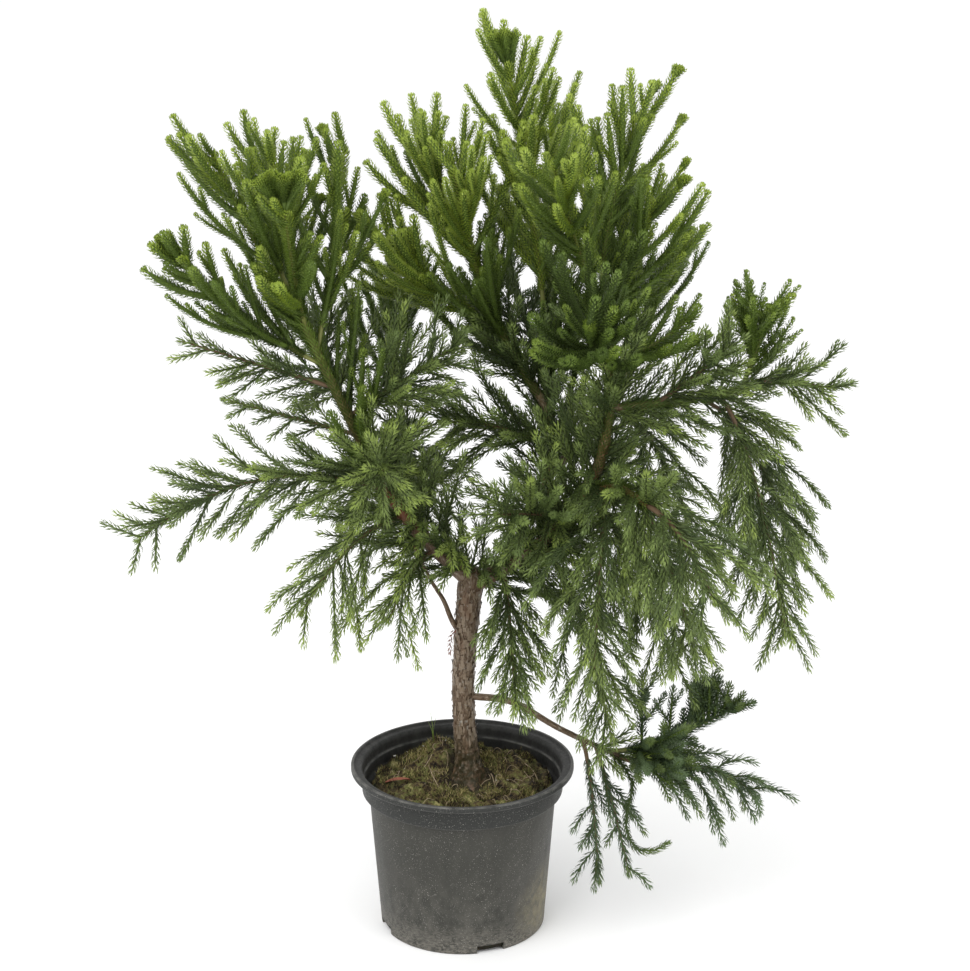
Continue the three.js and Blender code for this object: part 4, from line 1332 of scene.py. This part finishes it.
def soil_height(x, y):
    """Height of the moss over the pot's plan: the solid's own rule with finer lumps."""
    waves = LUMP_WAVES
    lumps = np.sin(x * waves.across + waves.start) * np.cos(y * waves.back + x * waves.skew)
    height = SOIL_LEVEL + SOIL_LUMP * lumps
    for (mound_x, mound_y), radius, rise in [*MOUNDS, MOSS_MOUND]:
        height += rise * np.exp(-2 * ((x - mound_x) ** 2 + (y - mound_y) ** 2) / radius ** 2)
    place = np.stack([x, y, np.zeros_like(x)], axis=-1)
    for size, depth in MOSS_LUMPS:
        height += depth * np.abs(smooth_noise(place / size, int(size)))
    rim = np.clip((np.hypot(x, y) - soil_radius(SOIL_LEVEL) + SOIL_EDGE_DROP) / SOIL_EDGE_DROP, 0, 1)
    return height - SOIL_EDGE_DROP * rim * rim


def from_trunk(x, y):
    return np.hypot(x - TRUNK_PATH[0][0], y - TRUNK_PATH[0][1])


def make_root_ball():
    edge = soil_radius(SOIL_LEVEL - SOIL_EDGE_DROP)
    radii = np.concatenate([np.linspace(1, edge - 1, SOIL_RINGS), [edge]])
    outline = [(radius, SOIL_LEVEL) for radius in radii] + [(soil_radius(POT_FLOOR), POT_FLOOR + CLEARANCE)]
    points, faces = lathe(outline, POT_SIDES)
    top = points[:, 2] == SOIL_LEVEL
    points[top, 2] = soil_height(points[top, 0], points[top, 1])
    ball = make_piece("compost", points, faces, moss_material(), "compost")
    close_ends(ball, POT_SIDES)
    reach = BARE_SOIL.radius + smooth_noise(points / BARE_SOIL.ragged) * BARE_SOIL.ragged
    bare = np.clip((reach - from_trunk(points[:, 0], points[:, 1])) / BARE_SOIL.fade, 0, 1) * BARE_SOIL.most
    carry(ball, "bare", np.where(points[:, 2] < POT_HEIGHT / 2, 1, bare))
    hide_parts("root_ball")
    random = np.random.default_rng(seed_of("moss"))
    make_moss(random)
    make_fibres(random)
    make_dead_leaf()
    make_grit(random)
    make_dead_tuft(random)
    make_seedling()


def make_moss(random):
    """Short blades of moss in clumps, thin round the trunk's foot."""
    radius = (pot_radius(SOIL_LEVEL) - MOSS.from_wall) * np.sqrt(random.uniform(0, 1, MOSS.blades))
    turn = random.uniform(0, 2 * math.pi, MOSS.blades)
    x, y = radius * np.cos(turn), radius * np.sin(turn)
    place = np.stack([x, y, np.zeros_like(x)], axis=-1)
    clump = smooth_noise(place / MOSS.clump, seed=3)
    thick = clump + MOSS.tuft_share * smooth_noise(place / MOSS.tuft, seed=4)
    least, spread = MOSS.from_trunk
    kept = (from_trunk(x, y) > least + spread * random.uniform(0, 1, MOSS.blades)) & (thick > MOSS.thinnest)
    x, y, clump, radius = x[kept], y[kept], clump[kept], radius[kept]
    count = len(x)
    base = np.stack([x, y, soil_height(x, y) - MOSS.sunk], axis=-1)
    lean = random.normal(0, MOSS.lean, (count, 3)) * (1, 1, MOSS.lean_up) + UP
    length = random.uniform(*MOSS.length, count) + MOSS.clump_length * np.clip(clump, 0, 1)
    tip = base + unit(lean) * length[:, None]
    half = unit(random.normal(0, 1, (count, 3)) * (1, 1, 0)) * random.uniform(*MOSS.half, count)[:, None]
    blades = np.stack([base - half, base + half, tip], axis=1)
    age = clump + random.normal(0, MOSS.age_spread, count) + MOSS.age_start - radius / MOSS.age_reach
    kind = np.digitize(age, MOSS.ages)
    for i, (tint, colour) in enumerate(MOSS_TINTS.items()):
        name = "moss_" + tint
        chosen = blades[kind == i].reshape(-1, 3)
        faces = np.arange(len(chosen)).reshape(-1, 3)
        material = plain_material(name, colour, roughness=0.8, shine=0.2)
        make_piece(name, chosen, faces, material, "compost", smooth=False)


def on_moss(x, y, above=0):
    """A point over the moss."""
    return np.array((x, y, soil_height(np.array([x]), np.array([y]))[0] + above), float)


def add_thread(heap, places, look, radius):
    """A thread over the moss, by places on the plan."""
    curve = bezier(*(on_moss(*place, rise) for place, rise in zip(places, look.rises)))
    heap.add(*tube(curve, np.linspace(0, 1, look.rows), np.full(look.rows, radius), THREAD_SIDES))


def make_fibres(random):
    """Dry fibres: a few thick ones that the photograph shows, and many thin ones."""
    threads = Heap()
    for start, end in STRANDS.ends:
        middle = (np.array(start) + end) / 2 + random.uniform(-STRANDS.bend, STRANDS.bend, 2)
        add_thread(threads, (start, middle, end), STRANDS, STRANDS.radius)
    reach = pot_radius(SOIL_LEVEL) - FIBRES.from_wall
    for _ in range(FIBRES.count):
        turn = random.uniform(0, 2 * math.pi)
        direction = np.array((math.cos(turn), math.sin(turn)))
        place = direction * reach * math.sqrt(random.uniform(FIBRES.least, 1))
        steps = random.uniform(-FIBRES.bend, FIBRES.bend, (FIBRES.bends, 2))
        places = (place, *(place + np.cumsum(steps, axis=0)))
        add_thread(threads, places, FIBRES, random.uniform(*FIBRES.radius))
    make_piece("dry_fibres", *threads.joined(), litter_material("dry_fibre"), "compost")


def make_dead_leaf():
    start, end = (on_moss(*place, LEAF.above) for place in LEAF.ends)
    spine = bezier(start, (start + end) / 2 + UP * LEAF.arch, end).points(np.linspace(0, 1, LEAF.rows))
    half = LEAF.half * np.sin(np.linspace(LEAF.stalk, math.pi, LEAF.rows)) ** LEAF.blunt
    folds = np.linspace(-1, 1, LEAF.columns)
    flat = unit(np.cross(end - start, UP))
    raised = UP * (np.abs(folds) * LEAF.fold)[:, None]
    blade = spine[:, None] + flat * (half[:, None] * folds)[..., None] + raised
    faces = grid_faces(LEAF.rows, LEAF.columns)
    make_piece("dead_leaf", blade.reshape(-1, 3), faces, litter_material("dead_leaf"), "compost")


def make_grit(random):
    """Pale lumps on the moss."""
    lumps = Heap()
    scattered = random.uniform(-1, 1, (GRIT.count, 2)) * GRIT.reach
    turn = turns(GRIT.columns)
    end = math.pi / 2 - GRIT.pole
    tilt = np.linspace(-end, end, GRIT.rows)[:, None]
    faces = grid_faces(GRIT.rows, GRIT.columns, wrap=True)
    ball = [np.cos(tilt) * np.cos(turn), np.cos(tilt) * np.sin(turn), np.sin(tilt) + 0 * turn]
    ball = np.stack(ball, axis=-1).reshape(-1, 3)
    for x, y in [*GRIT.placed, *scattered]:
        size = random.uniform(*GRIT.small) if abs(x) < GRIT.big_from else GRIT.big
        lumpy = ball * (1 + GRIT.lump * smooth_noise(ball * GRIT.lump_pitch + x + y, seed=5))[:, None]
        lumps.add(on_moss(x, y, size * GRIT.above) + lumpy * size, faces)
    make_piece("grit", *lumps.joined(), litter_material("perlite"), "compost")


def make_dead_tuft(random):
    """A dry tuft of needles on the trunk, of the dead leaf's colour."""
    tuft = []
    add_needles({"rust": tuft}, spline(TUFT_PATH), 0, TUFT_LOOK, ["rust"], random)
    make_piece("dead_tuft", *needle_mesh(np.concatenate(tuft)), bpy.data.materials["dead_leaf"], "bark")


def make_seedling():
    leaves = Heap()
    shares = np.linspace(0, 1, SEEDLING.rows)
    foot = on_moss(*SEEDLING.at, -1)
    for lean_x, lean_y, height in SEEDLING.blades:
        curve = bezier(foot, foot + UP * height * SEEDLING.bend, foot + (lean_x, lean_y, height))
        points, _, side, _ = curve.frames(shares)
        half = side * (SEEDLING.half * np.sqrt(1 + SEEDLING.tip - shares))[:, None]
        blade = np.stack([points - half, points + half], axis=1)
        leaves.add(blade.reshape(-1, 3), grid_faces(SEEDLING.rows, 2))
    make_piece("seedling", *leaves.joined(), litter_material("seedling_leaf"), "fresh_foliage")


def bark_relief(turn, along, radius, seed):
    """Bark scales over a grid of turns and places along: 0 in a crack, 1 on the free end of a scale."""
    size = (SCALES.wide, SCALES.wide, SCALES.long)
    columns = max(SCALES.fewest, round(2 * math.pi * radius / SCALES.wide))
    ring = np.stack([np.cos(turn) * radius, np.sin(turn) * radius, along], axis=-1).reshape(-1, 3)
    warp = [smooth_noise(ring / size, seed + i).reshape(turn.shape) for i in range(2)]
    across = turn / (2 * math.pi) * columns + SCALES.warp[0] * warp[0]
    up = along / SCALES.long + SCALES.warp[1] * warp[1]
    rows = int(up.max()) + 3
    scales = np.random.default_rng(seed).uniform(0, 1, (rows, columns, 3))
    nearest = np.full(turn.shape, SCALES.far)
    second = nearest
    lift = nearest
    for row_step in (-1, 0, 1):
        for column_step in (-1, 0, 1):
            row = np.floor(up).astype(int) + row_step
            column = np.floor(across).astype(int) + column_step
            scale = scales[row % rows, column % columns]
            above = up - row - scale[..., 1]
            gap = np.hypot(column + scale[..., 0] - across, above)
            closer = gap < nearest
            second = np.where(closer, nearest, np.minimum(second, gap))
            raised = SCALES.mean + SCALES.spread * (scale[..., 2] - 0.5) + SCALES.slope * above
            lift = np.where(closer, raised, lift)
            nearest = np.where(closer, gap, nearest)
    fibres = smooth_noise(ring / BARK_FIBRES.size, seed + 2).reshape(turn.shape)
    plates = np.clip((second - nearest) * SCALES.sharp, SCALES.crack, 1) * lift
    return np.clip(plates + BARK_FIBRES.relief * fibres + BARK_FIBRES.rise, 0, 1)


def bark_flakes(curve, radii, random):
    """Thin strips that have come loose at one end."""
    strips = Heap()
    steps = np.linspace(0, 1, FLAKES.rows)
    for _ in range(FLAKES.count):
        begin = random.uniform(*FLAKES.begin)
        shares = begin + random.uniform(*FLAKES.length) / curve.length * steps
        turn = random.uniform(0, 2 * math.pi)
        edges = turn + np.array((-0.5, 0.5)) * random.uniform(*FLAKES.width) / FLAKES.radius
        lift = steps ** 2 if random.uniform() >= 0.5 else steps[::-1] ** 2
        radius = read_at(radii, shares) + lift * random.uniform(*FLAKES.lift)
        points, _, side, out = (row[1:-1] for row in curve.frames(np.concatenate([[0], shares, [1]])))
        ring = swings(side[:, None], out[:, None], edges)
        strip = points[:, None] + ring * radius[:, None, None]
        strips.add(strip.reshape(-1, 3), grid_faces(FLAKES.rows, 2))
    return strips.joined()


def bark_tube(curve, radii, grid, seed, is_trunk=False):
    """Points, quads and relief of a limb with bark, closed at its tip. The trunk's foot has root lobes."""
    row, sides = grid
    shares = np.linspace(0, 1, int(curve.length / row))
    along = (shares * curve.length)[:, None] + np.zeros(sides)
    turn = turns(sides) + np.zeros((len(shares), 1))
    mean = np.mean([radius for _, radius in radii])
    relief = bark_relief(turn, along, mean, seed)
    radius = read_at(radii, shares)[:, None]
    if is_trunk:
        lobes = ROOTS.swell + ROOTS.depth * np.sin(ROOTS.lobes * turn + ROOTS.start)
        radius = radius * (1 + np.exp(-along / ROOTS.reach) * lobes)
    radius = radius + mean * SCALES.relief * (relief - SCALES.level)
    to_tip = np.clip((1 - shares) * curve.length / LIMB_TIP, 0, 1)
    radius = radius * np.sqrt(np.clip(1 - (1 - to_tip) ** 2, 1e-4, 1))[:, None]
    points, _, side, out = curve.frames(shares)
    rings = points[:, None] + swings(side[:, None], out[:, None], turn) * radius[..., None]
    return rings.reshape(-1, 3), grid_faces(len(shares), sides, wrap=True), relief.ravel()


def make_bark(limbs):
    material = bark_material()
    for name, curve in limbs.items():
        radii = LIMBS[name][1]
        is_trunk = name == "trunk"
        grid = TRUNK_GRID if is_trunk else LIMB_GRID
        points, faces, relief = bark_tube(curve, radii, grid, seed_of(name), is_trunk)
        heap = Heap()
        heap.add(points, faces)
        if is_trunk:
            heap.add(*bark_flakes(curve, radii, np.random.default_rng(seed_of("flakes"))))
            flakes = np.full(heap.count - len(relief), FLAKES.relief)
            spur = bark_tube(spline(SPUR_PATH), SPUR_RADII, LIMB_GRID, seed_of("spur"))
            heap.add(*spur[:2])
            relief = np.concatenate([relief, flakes, spur[2]])
        bark = make_piece(name + "_bark", *heap.joined(), material, "bark")
        carry(bark, "relief", relief)
        youth = np.zeros(len(relief))
        if name in YOUNG_FROM:
            rows = np.linspace(0, 1, len(points) // LIMB_GRID[1])
            youth = np.repeat(np.clip((rows - YOUNG_FROM[name]) / YOUNG_OVER, 0, YOUNG_MOST), LIMB_GRID[1])
        carry(bark, "youth", youth)
        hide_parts(name)


def make_foliage(masses, limbs):
    heaps, wood = foliage(masses, limbs)
    for tint, made in heaps.items():
        needles = np.concatenate(made)
        material = foliage_material("needle_" + tint, TINTS[tint])
        slot = "fresh_foliage" if tint.startswith("fresh") else "deep_foliage"
        parts = math.ceil(len(needles) * len(NEEDLE_FACES) / PIECE_TRIANGLES)
        for i, part in enumerate(np.array_split(needles, parts)):
            make_piece(f"needles_{tint}_{i + 1}", *needle_mesh(part), material, slot, smooth=False)
    for name, heap in wood.items():
        colour, slot = WOODS[name]
        piece = make_piece(name, *heap.joined(), foliage_material(name, colour), slot)
    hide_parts(*MASSES)


def make_camera():
    data = bpy.data.cameras.new("camera")
    data.sensor_width = SENSOR
    data.lens = FOCAL_PIXELS / FRAME_LONG_SIDE * SENSOR
    camera = bpy.data.objects.new("camera", data)
    camera.location = np.array(CAMERA_AT) * MM
    camera.rotation_euler = (math.radians(90 - CAMERA_DOWN), 0, 0)
    bpy.context.collection.objects.link(camera)
    bpy.context.scene.camera = camera


def make_stage():
    """A pale floor under soft light."""
    bpy.ops.mesh.primitive_plane_add(size=FLOOR_SIZE)
    floor = bpy.context.object
    floor.name = "floor"
    floor.data.materials.append(plain_material("floor_white", FLOOR_WHITE, roughness=0.9))
    world = bpy.data.worlds.new("studio")
    world.use_nodes = True
    world.node_tree.nodes["Background"].inputs["Color"].default_value = (1, 1, 1, 1)
    world.node_tree.nodes["Background"].inputs["Strength"].default_value = WORLD_STRENGTH
    bpy.context.scene.world = world
    for name, place, size, power in STUDIO_LIGHTS:
        data = bpy.data.lights.new(name, "AREA")
        data.size = size
        data.energy = power
        lamp = bpy.data.objects.new(name, data)
        lamp.location = place
        bpy.context.collection.objects.link(lamp)
        x, y, z = np.array(LAMPS_AIM) - place
        lamp.rotation_euler = (math.atan2(math.hypot(x, y), -z), 0, math.atan2(y, x) - math.pi / 2)
    bpy.context.scene.view_settings.view_transform = "Standard"


make_camera()
make_stage()
limb_curves = {name: spline(path) for name, (path, _) in LIMBS.items()}
make_pot()
make_root_ball()
make_bark(limb_curves)
make_foliage(grow_masses(limb_curves), limb_curves)
